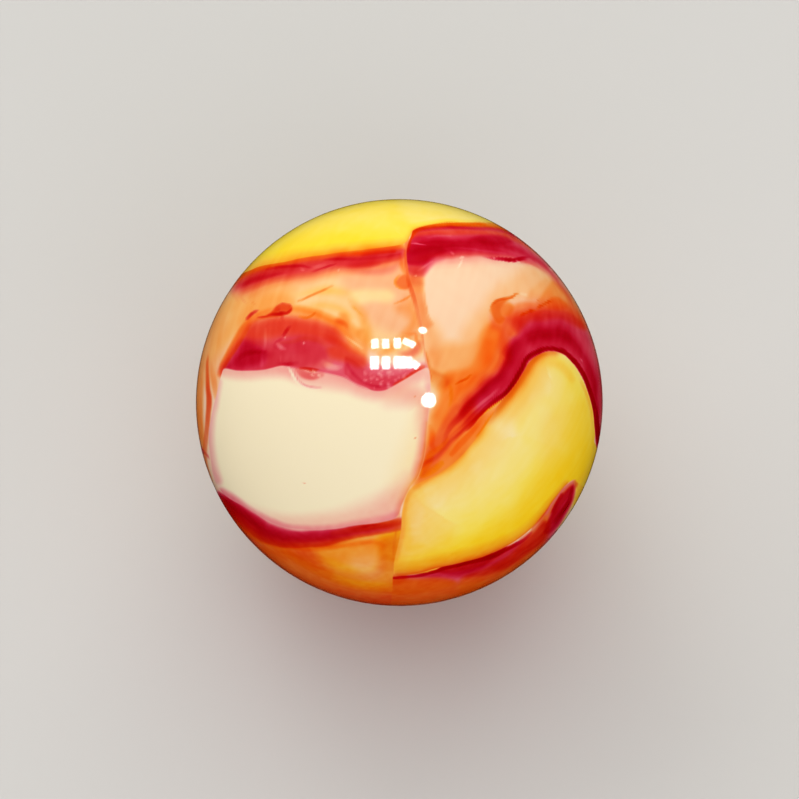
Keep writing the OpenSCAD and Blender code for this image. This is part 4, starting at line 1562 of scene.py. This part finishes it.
    yolk: Pool = Pool((0, 4, 16), (
        # Cap.
        Ribbon((
            (-690, 450, 35, 80), (-640, 490, 42, 80), (-600, 515, 50, 85), (-550, 535, 66, 90),
            (-500, 545, 84, 100), (-450, 553, 96, 100), (-400, 565, 100, 100), (-350, 574, 102, 100),
            (-300, 580, 104, 100), (-250, 588, 106, 100), (-200, 594, 104, 95), (-150, 600, 102, 90),
            (-100, 606, 94, 85), (-50, 612, 88, 80), (0, 620, 84, 70), (28, 632, 84, 55), (42, 655, 84, 40),
            (56, 678, 86, 28), (90, 692, 88, 20), (130, 701, 84, 16), (180, 706, 80, 14),
            (240, 709, 70, 14), (310, 709, 55, 14), (370, 706, 50, 14), (420, 705, 50, 14),
        ), (
            (-16, 34, 8, 175), (-2, 22, 8, 168), (7, 14, 6, 150), (16, 9, 4, 138), (28, 4, 0, 130),
            (48, 0, 0, 122), (75, 0, 0, 104), (110, 0, 0, 60), (150, 0, 0, 0),
        ), streaks=Streaks(101, depth=0.06, length=4.0)),
        Wash((0, 0, 84), (
            (-680, 440), (-500, 525), (-300, 560), (0, 600), (30, 640), (50, 700), (10, 770), (-60, 900),
            (-300, 960), (-600, 800),
        ), 0.35),
        Wash((0, 0, 66), (
            (-50, 620), (60, 680), (150, 712), (280, 712), (420, 712), (400, 900), (0, 990), (-60, 800),
        ), 0.35),
        Ribbon((
            (-664, 450, 60, 80), (-645, 428, 86, 90), (-590, 402, 96, 100), (-500, 390, 100, 100),
            (-400, 440, 100, 100), (-260, 520, 96, 90), (-120, 552, 92, 86), (20, 560, 90, 84),
            (150, 560, 90, 84), (270, 570, 90, 84), (358, 590, 86, 80), (391, 624, 80, 70),
            (400, 662, 60, 60),
        ), (
            (-10, 30, 8, 170), (8, 20, 8, 150), (28, 6, 0, 130), (55, 0, 0, 116), (95, 0, 0, 104),
            (150, 0, 0, 0),
        ), streaks=Streaks(231, depth=0.06, length=4.0), side=Side.FAR),
        Wash((0, 0, 100), (
            (-680, 400), (-500, 330), (-260, 480), (0, 520), (270, 520), (400, 560), (460, 650), (300, 745),
            (0, 803), (-300, 745), (-560, 570),
        ), 0.4, Side.FAR),
        Wash((0, 14, 120), (
            (782, -180), (700, -190), (480, -220), (330, -140), (200, -100), (200, -200), (320, -320),
            (560, -380), (700, -340), (748, -290), (768, -240),
        ), 0.3, Side.FAR),
        # Patch.
        Ribbon((
            (520, 140, 0, 40), (560, 170, 28, 45), (600, 180, 38, 50), (650, 160, 42, 52),
            (690, 115, 44, 60), (715, 60, 50, 72), (735, 0, 58, 84), (748, -60, 66, 92),
            (755, -120, 74, 96), (755, -180, 84, 98), (740, -240, 94, 100), (700, -300, 98, 100),
            (650, -335, 96, 96), (600, -400, 98, 96), (550, -460, 99, 98), (500, -510, 97, 96),
            (430, -555, 100, 98), (350, -595, 102, 95), (280, -618, 100, 86), (220, -633, 98, 74),
            (160, -646, 96, 62), (100, -660, 92, 52), (40, -672, 86, 46), (-20, -680, 80, 44),
        ), (
            (60, 0, 0, 60), (20, 2, 0, 150), (6, 2, 0, 165), (0, 0, 0, 176), (-15, 0, 0, 186),
            (-45, 0, 0, 182), (-65, 0, 0, 165), (-85, 0, 0, 142), (-105, 0, 0, 120), (-130, 0, 0, 96),
            (-155, 0, 0, 76), (-185, 0, 0, 60), (-230, 0, 0, 46), (-300, 0, 0, 34), (-380, 0, 0, 0),
        )),
        Wash((0, 0, 42), (
            (450, -60), (520, 20), (600, 30), (645, -40), (645, -140), (590, -200), (520, -190),
            (460, -130),
        ), 0.3),
        Wash((0, 6, 26), (
            (500, 130), (560, 175), (640, 165), (690, 110), (700, 30), (640, -40), (560, -30), (500, 30),
            (470, 60),
        ), 0.3),
        Wash((0, 13, 0), (
            (560, -60), (620, -20), (700, 20), (760, 0), (800, -200), (740, -330), (600, -430), (480, -540),
            (300, -640), (100, -690), (60, -620), (200, -560), (350, -480), (460, -380), (540, -260),
        ), 0.5),
        Wash((0, 10, 20), (
            (10, -360), (60, -340), (130, -310), (240, -240), (320, -150), (300, -220), (240, -330),
            (160, -420), (60, -470), (0, -450),
        ), 0.4),
        Stroke((0, 0, 40), (
            (760, 20, 60, 10), (768, -40, 60, 10), (770, -120, 60, 12), (762, -200, 60, 12),
        )),
        Stroke((0, 0, 62), (
            (20, -430, 80, 30), (30, -500, 95, 34), (40, -570, 100, 40), (90, -560, 90, 30),
        ), core=0.1),
        Wash((0, 0, 34), (
            (30, -350), (90, -420), (80, -520), (150, -540), (260, -500), (220, -440), (120, -400),
            (90, -330),
        ), 0.2),
        Ribbon((
            (610, 200, 50, 70), (560, 196, 90, 85), (520, 170, 100, 95), (492, 128, 100, 100),
            (463, 80, 100, 100), (435, 45, 98, 100), (409, 15, 90, 100), (386, -15, 80, 100),
            (361, -57, 45, 95), (340, -90, 0, 90),
        ), (
            (-18, 40, 24, 140), (0, 34, 30, 120), (10, 30, 32, 175), (19, 20, 38, 140), (27, 5, 56, 66),
            (37, 1, 48, 44), (50, 0, 34, 44), (70, 0, 28, 40), (100, 0, 14, 28), (140, 0, 0, 0),
        )),
        Stroke((0, 30, 20), (
            (540, 190, 60, 12), (570, 198, 100, 14), (600, 200, 100, 14), (635, 192, 60, 12),
        ), core=0.2),
        Stroke((0, 22, 0), ((580, 160, 90, 30), (640, 140, 100, 34), (680, 90, 80, 24)), core=0.1),
        Stroke((0, 30, 0), ((715, 80, 60, 9), (738, 30, 100, 9), (755, -30, 90, 8), (760, -90, 50, 7))),
        Ribbon((
            (386, -15, 0, 90), (361, -57, 50, 100), (322, -114, 100, 100), (280, -168, 100, 100),
            (242, -212, 100, 100), (202, -246, 100, 100), (160, -276, 100, 100), (100, -312, 85, 90),
            (60, -335, 60, 80),
        ), (
            (-18, 0, 125, 60), (0, 2, 100, 52), (6, 0, 76, 52), (13, 0, 52, 48), (22, 0, 34, 45),
            (34, 0, 24, 36), (60, 0, 19, 30), (110, 0, 10, 18), (180, 0, 0, 0),
        )),
        Ribbon((
            (70, -325, 60, 80), (40, -345, 90, 80), (22, -375, 100, 80), (12, -427, 100, 80),
            (8, -492, 105, 80), (0, -541, 105, 80), (-10, -600, 100, 70), (-16, -640, 60, 50),
        ), (
            (-18, 0, 50, 30), (0, 4, 56, 50), (15, 3, 50, 50), (28, 0, 36, 40), (50, 0, 30, 30),
            (80, 0, 24, 20), (160, 0, 18, 0), (250, 0, 12, 0), (320, 0, 0, 0),
        )),
        # Pink veil where the red edge shows through.
        Ribbon((
            (-10, -678, 100, 100), (70, -672, 100, 100), (148, -651, 100, 100), (239, -631, 100, 100),
            (314, -612, 100, 100), (364, -592, 100, 90), (415, -568, 100, 80), (463, -540, 90, 70),
            (520, -494, 80, 60), (570, -435, 80, 50), (610, -380, 80, 40), (655, -325, 70, 40),
        ), (
            (-10, 60, 0, 130), (0, 40, 0, 130), (8, 22, 0, 0), (20, 12, 0, 0), (36, 7, 0, 0), (60, 0, 0, 0),
        )),
    ))


@dataclass(frozen=True)
class Relief:
    """The fine shape of the surface: how smooth it is, and its crease, in millimetres.

    The swell's lattice starts at start and its second and third layers a shift
    further on, and skew leans the first and third off the axes.
    """

    crease_depth: float = 0.0004
    crease_width: float = 0.11
    swell_height: float = 0.0006
    swell_length: float = 1.3
    start: float = 40.0
    shifts: tuple[float, float] = (9.1, 21.7)
    skew: tuple[float, float] = (0.37, 0.41)
    seed: int = 5

    def height(self, unit: np.ndarray, fold: np.ndarray, radius: float) -> np.ndarray:
        """How far the surface stands off the true ball.

        A gentle swell from three layers of lattice noise, less a groove along
        the fold whose section is exp(-(d / w)^2) at distance d from it.

        Args:
            unit: An N by 3 array of directions.
            fold: Each point's distance from the fold, in millimetres.
            radius: The ball's radius.

        Returns:
            Millimetres, below 0 inside the ball.
        """
        grain = Grain(self.seed)
        x, y, z = (unit * radius / self.swell_length + self.start).T
        layers = (
            grain.at(x + self.skew[0] * z, y),
            grain.at(y + self.shifts[0], z),
            grain.at(z + self.shifts[1], x - self.skew[1] * y),
        )
        swell = self.swell_height * sum(layers)
        groove = self.crease_depth * np.exp(-((fold / self.crease_width) ** 2))
        return swell - len(layers) * self.swell_height - groove


@dataclass(frozen=True)
class Absorption:
    """How strongly one unit of a colourant darkens red, green and blue light, as exponents."""

    red: float
    green: float
    blue: float


def add_node(
    tree: bpy.types.NodeTree,
    kind: str,
    settings: Optional[Mapping[str, Any]] = None,
    inputs: Optional[Mapping[Any, Any]] = None,
) -> bpy.types.Node:
    """Adds one node to a material.

    Args:
        tree: The material's node tree.
        kind: The node's type, without the ShaderNode in front.
        settings: The node's own properties, by name.
        inputs: What its sockets get, by name or number: a value, or a socket to link from.

    Returns:
        The new node.
    """
    node = tree.nodes.new("ShaderNode" + kind)
    for name, value in (settings or {}).items():
        setattr(node, name, value)
    for name, value in (inputs or {}).items():
        socket = node.inputs[name]
        if isinstance(value, bpy.types.NodeSocket):
            tree.links.new(value, socket)
        else:
            socket.default_value = value
    return node


@dataclass(frozen=True)
class SwirlGlass:
    """Opaque soda-lime glass, cut hot from a stream and rolled round between grooved rollers.

    Rolled while it is still soft, it never touches a tool again, so it keeps a
    fire-polished gloss. The eye gets hard small highlights over deep colour.
    """

    base: str = "#F7E8C6"
    ruby: Absorption = Absorption(0.50, 4.60, 2.75)
    amber: Absorption = Absorption(0.0, 1.02, 2.58)
    lemon: Absorption = Absorption(0.0, 0.10, 1.90)
    edge_blur: float = 0.045
    fold_blur: float = 0.035
    ior: float = 1.52
    roughness: float = 0.045

    def material(self) -> bpy.types.Material:
        """Builds the glass: stains picked by the clean edges, then light lost to each stain.

        Returns:
            The material, which reads the stains and edges that the mesh carries.
        """
        made = bpy.data.materials.new("swirl_glass")
        made.use_nodes = True
        tree = made.node_tree
        tree.nodes.clear()

        def carried(name: str, output: str) -> bpy.types.NodeSocket:
            """The socket of a value that the mesh carries, by its name and the node's output."""
            return add_node(tree, "Attribute", {"attribute_name": name}).outputs[output]

        def step(name: str, blur: float) -> bpy.types.NodeSocket:
            """1 inside a field and 0 outside, over an edge of blur millimetres to either side."""
            return add_node(
                tree,
                "MapRange",
                {"interpolation_type": "SMOOTHSTEP"},
                {"Value": carried(name, "Fac"), "From Min": -blur, "From Max": blur},
            ).outputs["Result"]

        def blend(
            low: bpy.types.NodeSocket, high: bpy.types.NodeSocket, share: bpy.types.NodeSocket
        ) -> bpy.types.NodeSocket:
            """One stain vector or another: low at a share of 0 and high at 1."""
            sockets = {MIX_SHARE: share, **dict(zip(MIX_VECTORS, (low, high)))}
            return add_node(tree, "Mix", {"data_type": "VECTOR"}, sockets).outputs[MIXED_VECTOR]

        stain = blend(
            carried("stain_left", "Vector"),
            carried("stain_right", "Vector"),
            step("edge_fold", self.fold_blur),
        )
        stain = blend(stain, carried("stain_milk", "Vector"), step("edge_milk", self.edge_blur))
        stain = blend(stain, carried("stain_lemon", "Vector"), step("edge_lemon", self.edge_blur))

        left = []
        for part in ("red", "green", "blue"):
            lost = [-getattr(a, part) for a in (self.ruby, self.amber, self.lemon)]
            loss = add_node(tree, "VectorMath", {"operation": "DOT_PRODUCT"}, {0: stain, 1: lost})
            power = add_node(tree, "Math", {"operation": "EXPONENT"}, {0: loss.outputs["Value"]})
            left.append(power.outputs[0])
        kept = add_node(tree, "CombineColor", None, dict(zip(("Red", "Green", "Blue"), left)))
        colour = add_node(
            tree,
            "Mix",
            {"data_type": "RGBA", "blend_type": "MULTIPLY"},
            {MIX_SHARE: 1.0, **dict(zip(MIX_COLOURS, (kept.outputs[0], (*linear(self.base), 1.0))))},
        )
        shader = add_node(
            tree,
            "BsdfPrincipled",
            None,
            {
                "Base Color": colour.outputs[MIXED_COLOUR],
                "Roughness": self.roughness,
                "IOR": self.ior,
            },
        )
        add_node(tree, "OutputMaterial", None, {"Surface": shader.outputs[0]})
        return made


@dataclass(frozen=True)
class CubeBall:
    """A round mesh with even faces: the six sides of a cube, swelled out onto the ball.

    splits is how many faces a side has along each edge, draw shrinks the map
    about the best face, and gap is the share of a side's room on the flat map
    that stays free round it.
    """

    splits: int = 128
    draw: float = 0.6
    gap: float = 0.004

    def lattice(self, face: Face) -> tuple[np.ndarray, np.ndarray, np.ndarray]:
        """Lays a square grid on each side of a cube and joins the sides at their edges.

        A place at whole-number steps (i, j, k) of the cube goes to the
        direction (tan, tan, tan) of a quarter turn times its share of each
        axis, from -1 to 1, which makes the faces nearly equal. Then the
        directions are drawn towards the best face, by shrinking the map about
        it, so that the faces are smallest there.

        Args:
            face: The best face.

        Returns:
            Unit vectors for the vertices, the quads' vertex numbers, and each
            quad corner's place on the flat map, three sides wide and two high.
        """
        n, gap = self.splits, self.gap
        i, j = np.meshgrid(np.arange(n + 1), np.arange(n + 1), indexing="ij")
        grids, maps = [], []
        for side in range(6):
            axis, end = side % 3, (side // 3) * n
            grid = np.empty((n + 1, n + 1, 3), int)
            grid[..., axis] = end
            grid[..., (axis + 1) % 3] = i if end else j
            grid[..., (axis + 2) % 3] = j if end else i
            grids.append(grid.reshape(-1, 3))
            u = (axis + gap + (1 - 2 * gap) * i / n) / 3
            v = (side // 3 + gap + (1 - 2 * gap) * j / n) / 2
            maps.append(np.stack([u, v], -1).reshape(-1, 2))
        keys, owner = np.unique(np.vstack(grids), axis=0, return_inverse=True)
        number = np.arange((n + 1) ** 2).reshape(n + 1, n + 1)
        quad = np.stack([number[:-1, :-1], number[1:, :-1], number[1:, 1:], number[:-1, 1:]], -1)
        corners = np.vstack([quad.reshape(-1, 4) + side * (n + 1) ** 2 for side in range(6)])
        spread = np.tan((keys / n * 2 - 1) * math.pi / 4)
        unit = spread / np.linalg.norm(spread, axis=1, keepdims=True)
        chart = face.chart(unit @ face.axes().T, Side.NEAR) * self.draw
        square = (chart**2).sum(1, keepdims=True) / 4.0
        unit = np.hstack([chart, 1.0 - square]) / (1.0 + square) @ face.axes()
        return unit, owner.reshape(-1)[corners], np.vstack(maps)[corners]


@dataclass
class Marble:
    """The marble: one ball of swirled glass.

    Both bodies' stains are worked out up to lap millimetres past an edge, as
    the edge is a soft one.
    """

    radius: float
    mesh: CubeBall = field(default_factory=CubeBall)
    pattern: SwirlPattern = field(default_factory=SwirlPattern)
    relief: Relief = field(default_factory=Relief)
    glass: SwirlGlass = field(default_factory=SwirlGlass)
    lap: float = 0.3

    def face(self) -> Face:
        """The best face of this ball."""
        return Face(self.radius)

    def edges(self, face: Face, unit: np.ndarray) -> dict[str, np.ndarray]:
        """How far inside each body of glass every point lies; the right of the fold is a body too.

        Args:
            face: The face that the bodies are drawn on.
            unit: An N by 3 array of directions in the face's axes.

        Returns:
            N depths for each body by its name, in millimetres, below 0 outside it.
        """
        bodies = {"milk": self.pattern.milk, "lemon": self.pattern.lemon}
        found = {n: np.max([o.depth(face, unit) for o in b], axis=0) for n, b in bodies.items()}
        found["fold"] = -self.pattern.fold.depth(face, unit)
        return found

    def stains(self, face: Face, unit: np.ndarray, edges: dict[str, np.ndarray]) -> dict[str, np.ndarray]:
        """The stain vectors of each body of glass, worked out only where that body shows.

        Args:
            face: The face that the marks are drawn on.
            unit: An N by 3 array of directions in the face's axes.
            edges: How far inside each body the points lie.

        Returns:
            An N by 3 array of ruby, amber and lemon for each body by its name.
        """
        lap = self.lap
        shown = {
            "left": (edges["fold"] < lap) & (edges["milk"] < lap) & (edges["lemon"] < lap),
            "right": (edges["fold"] > -lap) & (edges["milk"] < lap) & (edges["lemon"] < lap),
            "milk": edges["milk"] > -lap,
            "lemon": edges["lemon"] > -lap,
        }
        pools = {
            "left": self.pattern.left,
            "right": self.pattern.right,
            "milk": self.pattern.milky,
            "lemon": self.pattern.yolk,
        }
        found = {}
        for name, pool in pools.items():
            found[name] = np.zeros((len(unit), 3))
            found[name][shown[name]] = pool.stains(face, unit[shown[name]])
        return found

    def build(self) -> bpy.types.Object:
        """Builds the ball's mesh, with what its glass needs to know at each point.

        Returns:
            The finished piece.
        """
        face = self.face()
        unit, quads, corners = self.mesh.lattice(face)
        seen = unit @ face.axes().T
        edges = self.edges(face, seen)
        reach = self.radius + self.relief.height(unit, edges["fold"], self.radius)
        data = bpy.data.meshes.new("glass_ball")
        data.from_pydata((unit * reach[:, None] * MM).tolist(), [], quads.tolist())
        data.polygons.foreach_set("use_smooth", np.ones(len(quads), bool))
        flat = data.uv_layers.new(name=BAKE_MAP)
        flat.uv.foreach_set("vector", corners.reshape(-1).astype(np.float32))
        for name, depth in edges.items():
            self.carry(data, "edge_" + name, depth)
        for name, stains in self.stains(face, seen, edges).items():
            self.carry(data, "stain_" + name, stains)
        data.update()
        piece = bpy.data.objects.new("glass_ball", data)
        bpy.context.scene.collection.objects.link(piece)
        return piece

    def carry(self, data: bpy.types.Mesh, name: str, values: np.ndarray) -> None:
        """Writes one value, or one vector, for each vertex of the mesh.

        Args:
            data: The mesh.
            name: The attribute's name, which the glass looks it up by.
            values: N values, or an N by 3 array of vectors.
        """
        flat = values.ndim == 1
        kept = data.attributes.new(name, "FLOAT" if flat else "FLOAT_VECTOR", "POINT")
        kept.data.foreach_set("value" if flat else "vector", values.astype(np.float32).reshape(-1))

    def dress(self, piece: bpy.types.Object) -> None:
        """Gives the ball its glass and its place in the frame."""
        piece.data.materials.append(self.glass.material())
        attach(piece, BODY)
        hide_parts(NODE)


@dataclass(frozen=True)
class Lamp:
    """A flat lamp, placed by where its reflection is seen on the ball's best face.

    x and y are that place in millimetres on the disc. width and height are in
    degrees as the ball sees them, and lean turns the lamp in its own plane, in
    degrees. A soft lamp lights the glass without being reflected in it, and one
    that isn't soft is only reflected.
    """

    x: float
    y: float
    width: float
    height: float
    radiance: float
    round: bool = False
    soft: bool = False
    lean: float = 0.0


@dataclass(frozen=True)
class SoftLamp:
    """A broad lamp that lights the glass without being reflected in it.

    All but its radiance are in degrees: elevation is its height over the floor,
    azimuth its turn about the ball from the part's x axis, and span its width.
    """

    elevation: float
    azimuth: float
    radiance: float
    span: float = 60.0

    def hung(self, face: Face) -> Lamp:
        """The same lamp, placed by where its reflection would be seen.

        Seen from far off along v, the reflection of a lamp that lies along l has
        the normal halfway between the two: (l + v) / |l + v|.

        Args:
            face: The ball's best face, which the eye is in front of.

        Returns:
            A lamp that its place on the disc stands for.
        """
        rise, turn = math.radians(self.elevation), math.radians(self.azimuth)
        level = math.cos(rise)
        way = np.array([level * math.cos(turn), level * math.sin(turn), math.sin(rise)])
        half = face.axes() @ way + np.array([0.0, 0.0, 1.0])
        x, y = face.radius * half[:2] / np.linalg.norm(half)
        return Lamp(x, y, self.span, self.span, self.radiance, soft=True)


@dataclass
class Studio:
    """A plain pale floor, soft light and the camera.

    Lengths are in millimetres, px_per_mm and middle say how large the ball is
    in the picture and where its middle lies there, and clip holds the nearest
    and farthest depths that the camera sees, in metres.
    """

    face: Face
    floor_width: float = 1600.0
    floor_colour: str = "#C8C6C1"
    floor_roughness: float = 0.9
    floor_specular: float = 0.1
    sky_colour: str = "#F4F4F6"
    sky_strength: float = 0.55
    lamp_distance: float = 600.0
    sensor: float = 36.0
    clip: tuple[float, float] = (0.01, 10.0)
    picture: int = 799
    px_per_mm: float = 25.42
    middle: tuple[float, float] = (399.3, 402.5)
    lamps: Sequence[Lamp] = (
        Lamp(-0.96, 2.30, 3.7, 5.2, 30.0),
        Lamp(-0.54, 2.30, 3.5, 5.4, 30.0),
        Lamp(-0.08, 2.33, 3.7, 6.0, 30.0),
        Lamp(0.38, 2.33, 6.8, 3.6, 30.0, lean=-24.0),
        Lamp(-0.98, 1.56, 4.4, 7.0, 30.0),
        Lamp(-0.53, 1.56, 4.2, 7.0, 30.0),
        Lamp(0.14, 1.57, 9.8, 6.8, 30.0),
        Lamp(0.62, 1.48, 4.4, 4.0, 30.0, lean=-35.0),
        Lamp(1.15, 0.08, 8.0, 8.0, 30.0, round=True),
        Lamp(0.92, 2.83, 3.9, 3.9, 30.0, round=True),
    )
    soft_lamps: Sequence[SoftLamp] = (
        SoftLamp(80.0, 90.0, 0.62),
        SoftLamp(22.0, 90.0, 1.25),
        SoftLamp(22.0, 135.0, 1.20),
        SoftLamp(22.0, 45.0, 0.28),
        SoftLamp(22.0, 270.0, 1.00),
        SoftLamp(22.0, 315.0, 0.56),
    )

    def light(self) -> None:
        """Hangs the lamps where their reflections belong, and adds the soft light all round.

        A lamp seen at the normal n by an eye at v lies along 2 (n . v) n - v.
        """
        axes = self.face.axes()
        softs = (lamp.hung(self.face) for lamp in self.soft_lamps)
        for number, lamp in enumerate((*self.lamps, *softs)):
            normal = self.face.lift(np.array([[lamp.x, lamp.y]]))[0] @ axes
            eye = axes[2] * self.face.eye - normal * self.face.radius
            eye /= np.linalg.norm(eye)
            way = 2 * (normal @ eye) * normal - eye
            data = bpy.data.lights.new(f"lamp_{number}", "AREA")
            data.shape = "ELLIPSE" if lamp.round else "RECTANGLE"
            spans = (lamp.width, lamp.height)
            sizes = [2 * self.lamp_distance * math.tan(math.radians(a / 2)) * MM for a in spans]
            data.size, data.size_y = sizes
            area = sizes[0] * sizes[1] * (math.pi / 4 if lamp.round else 1.0)
            data.energy = lamp.radiance * area * math.pi
            across = axes[0] - (axes[0] @ way) * way
            across /= np.linalg.norm(across)
            turn = Matrix(np.column_stack([across, np.cross(way, across), way]).tolist())
            turn = turn @ Matrix.Rotation(math.radians(lamp.lean), 3, "Z")
            placed = bpy.data.objects.new(data.name, data)
            place = Matrix.Translation(Vector(way) * self.lamp_distance * MM)
            placed.matrix_world = place @ turn.to_4x4()
            placed.visible_camera = False
            placed.visible_diffuse = lamp.soft
            placed.visible_glossy = not lamp.soft
            bpy.context.scene.collection.objects.link(placed)
        world = bpy.data.worlds.new("soft_light")
        bpy.context.scene.world = world
        world.use_nodes = True
        back = world.node_tree.nodes["Background"]
        back.inputs["Color"].default_value = (*linear(self.sky_colour), 1.0)
        back.inputs["Strength"].default_value = self.sky_strength
        world.cycles_visibility.glossy = False

    def lay_floor(self) -> None:
        """Lays the floor under the ball."""
        half = self.floor_width / 2 * MM
        low = -self.face.radius * MM
        data = bpy.data.meshes.new("floor")
        corners = [(-half, -half, low), (half, -half, low), (half, half, low), (-half, half, low)]
        data.from_pydata(corners, [], [(0, 1, 2, 3)])
        floor = bpy.data.objects.new("floor", data)
        paint = bpy.data.materials.new("pale_floor")
        paint.use_nodes = True
        shader = paint.node_tree.nodes["Principled BSDF"]
        shader.inputs["Base Color"].default_value = (*linear(self.floor_colour), 1.0)
        shader.inputs["Roughness"].default_value = self.floor_roughness
        shader.inputs["Specular IOR Level"].default_value = self.floor_specular
        data.materials.append(paint)
        floor.visible_glossy = False
        bpy.context.scene.collection.objects.link(floor)

    def place_camera(self) -> None:
        """Sets the camera in front of the best face, with the ball's middle at its place."""
        data = bpy.data.cameras.new("camera")
        width = self.picture / self.px_per_mm
        data.sensor_width = self.sensor
        data.lens = data.sensor_width * self.face.eye / width
        data.clip_start, data.clip_end = self.clip
        axes = self.face.axes()
        half = self.picture / 2
        aim = [(half - self.middle[0]) / self.px_per_mm, (self.middle[1] - half) / self.px_per_mm]
        place = Vector(aim[0] * axes[0] + aim[1] * axes[1] + self.face.eye * axes[2]) * MM
        turn = Matrix(axes.T.tolist())
        camera = bpy.data.objects.new("camera", data)
        camera.matrix_world = Matrix.Translation(place) @ turn.to_4x4()
        bpy.context.scene.collection.objects.link(camera)
        bpy.context.scene.camera = camera
        bpy.context.scene.view_settings.view_transform = "Standard"


def main() -> None:
    """Builds the marble and its studio."""
    logging.basicConfig(level=logging.INFO, format="%(name)s: %(message)s")
    low, high = cad_box
    marble = Marble(radius=(high.z - low.z) / 2 / MM)
    piece = marble.build()
    marble.dress(piece)
    log.info("%s: %d faces", piece.name, len(piece.data.polygons))
    studio = Studio(marble.face())
    studio.lay_floor()
    studio.light()
    studio.place_camera()


if __name__ == "__main__":
    main()
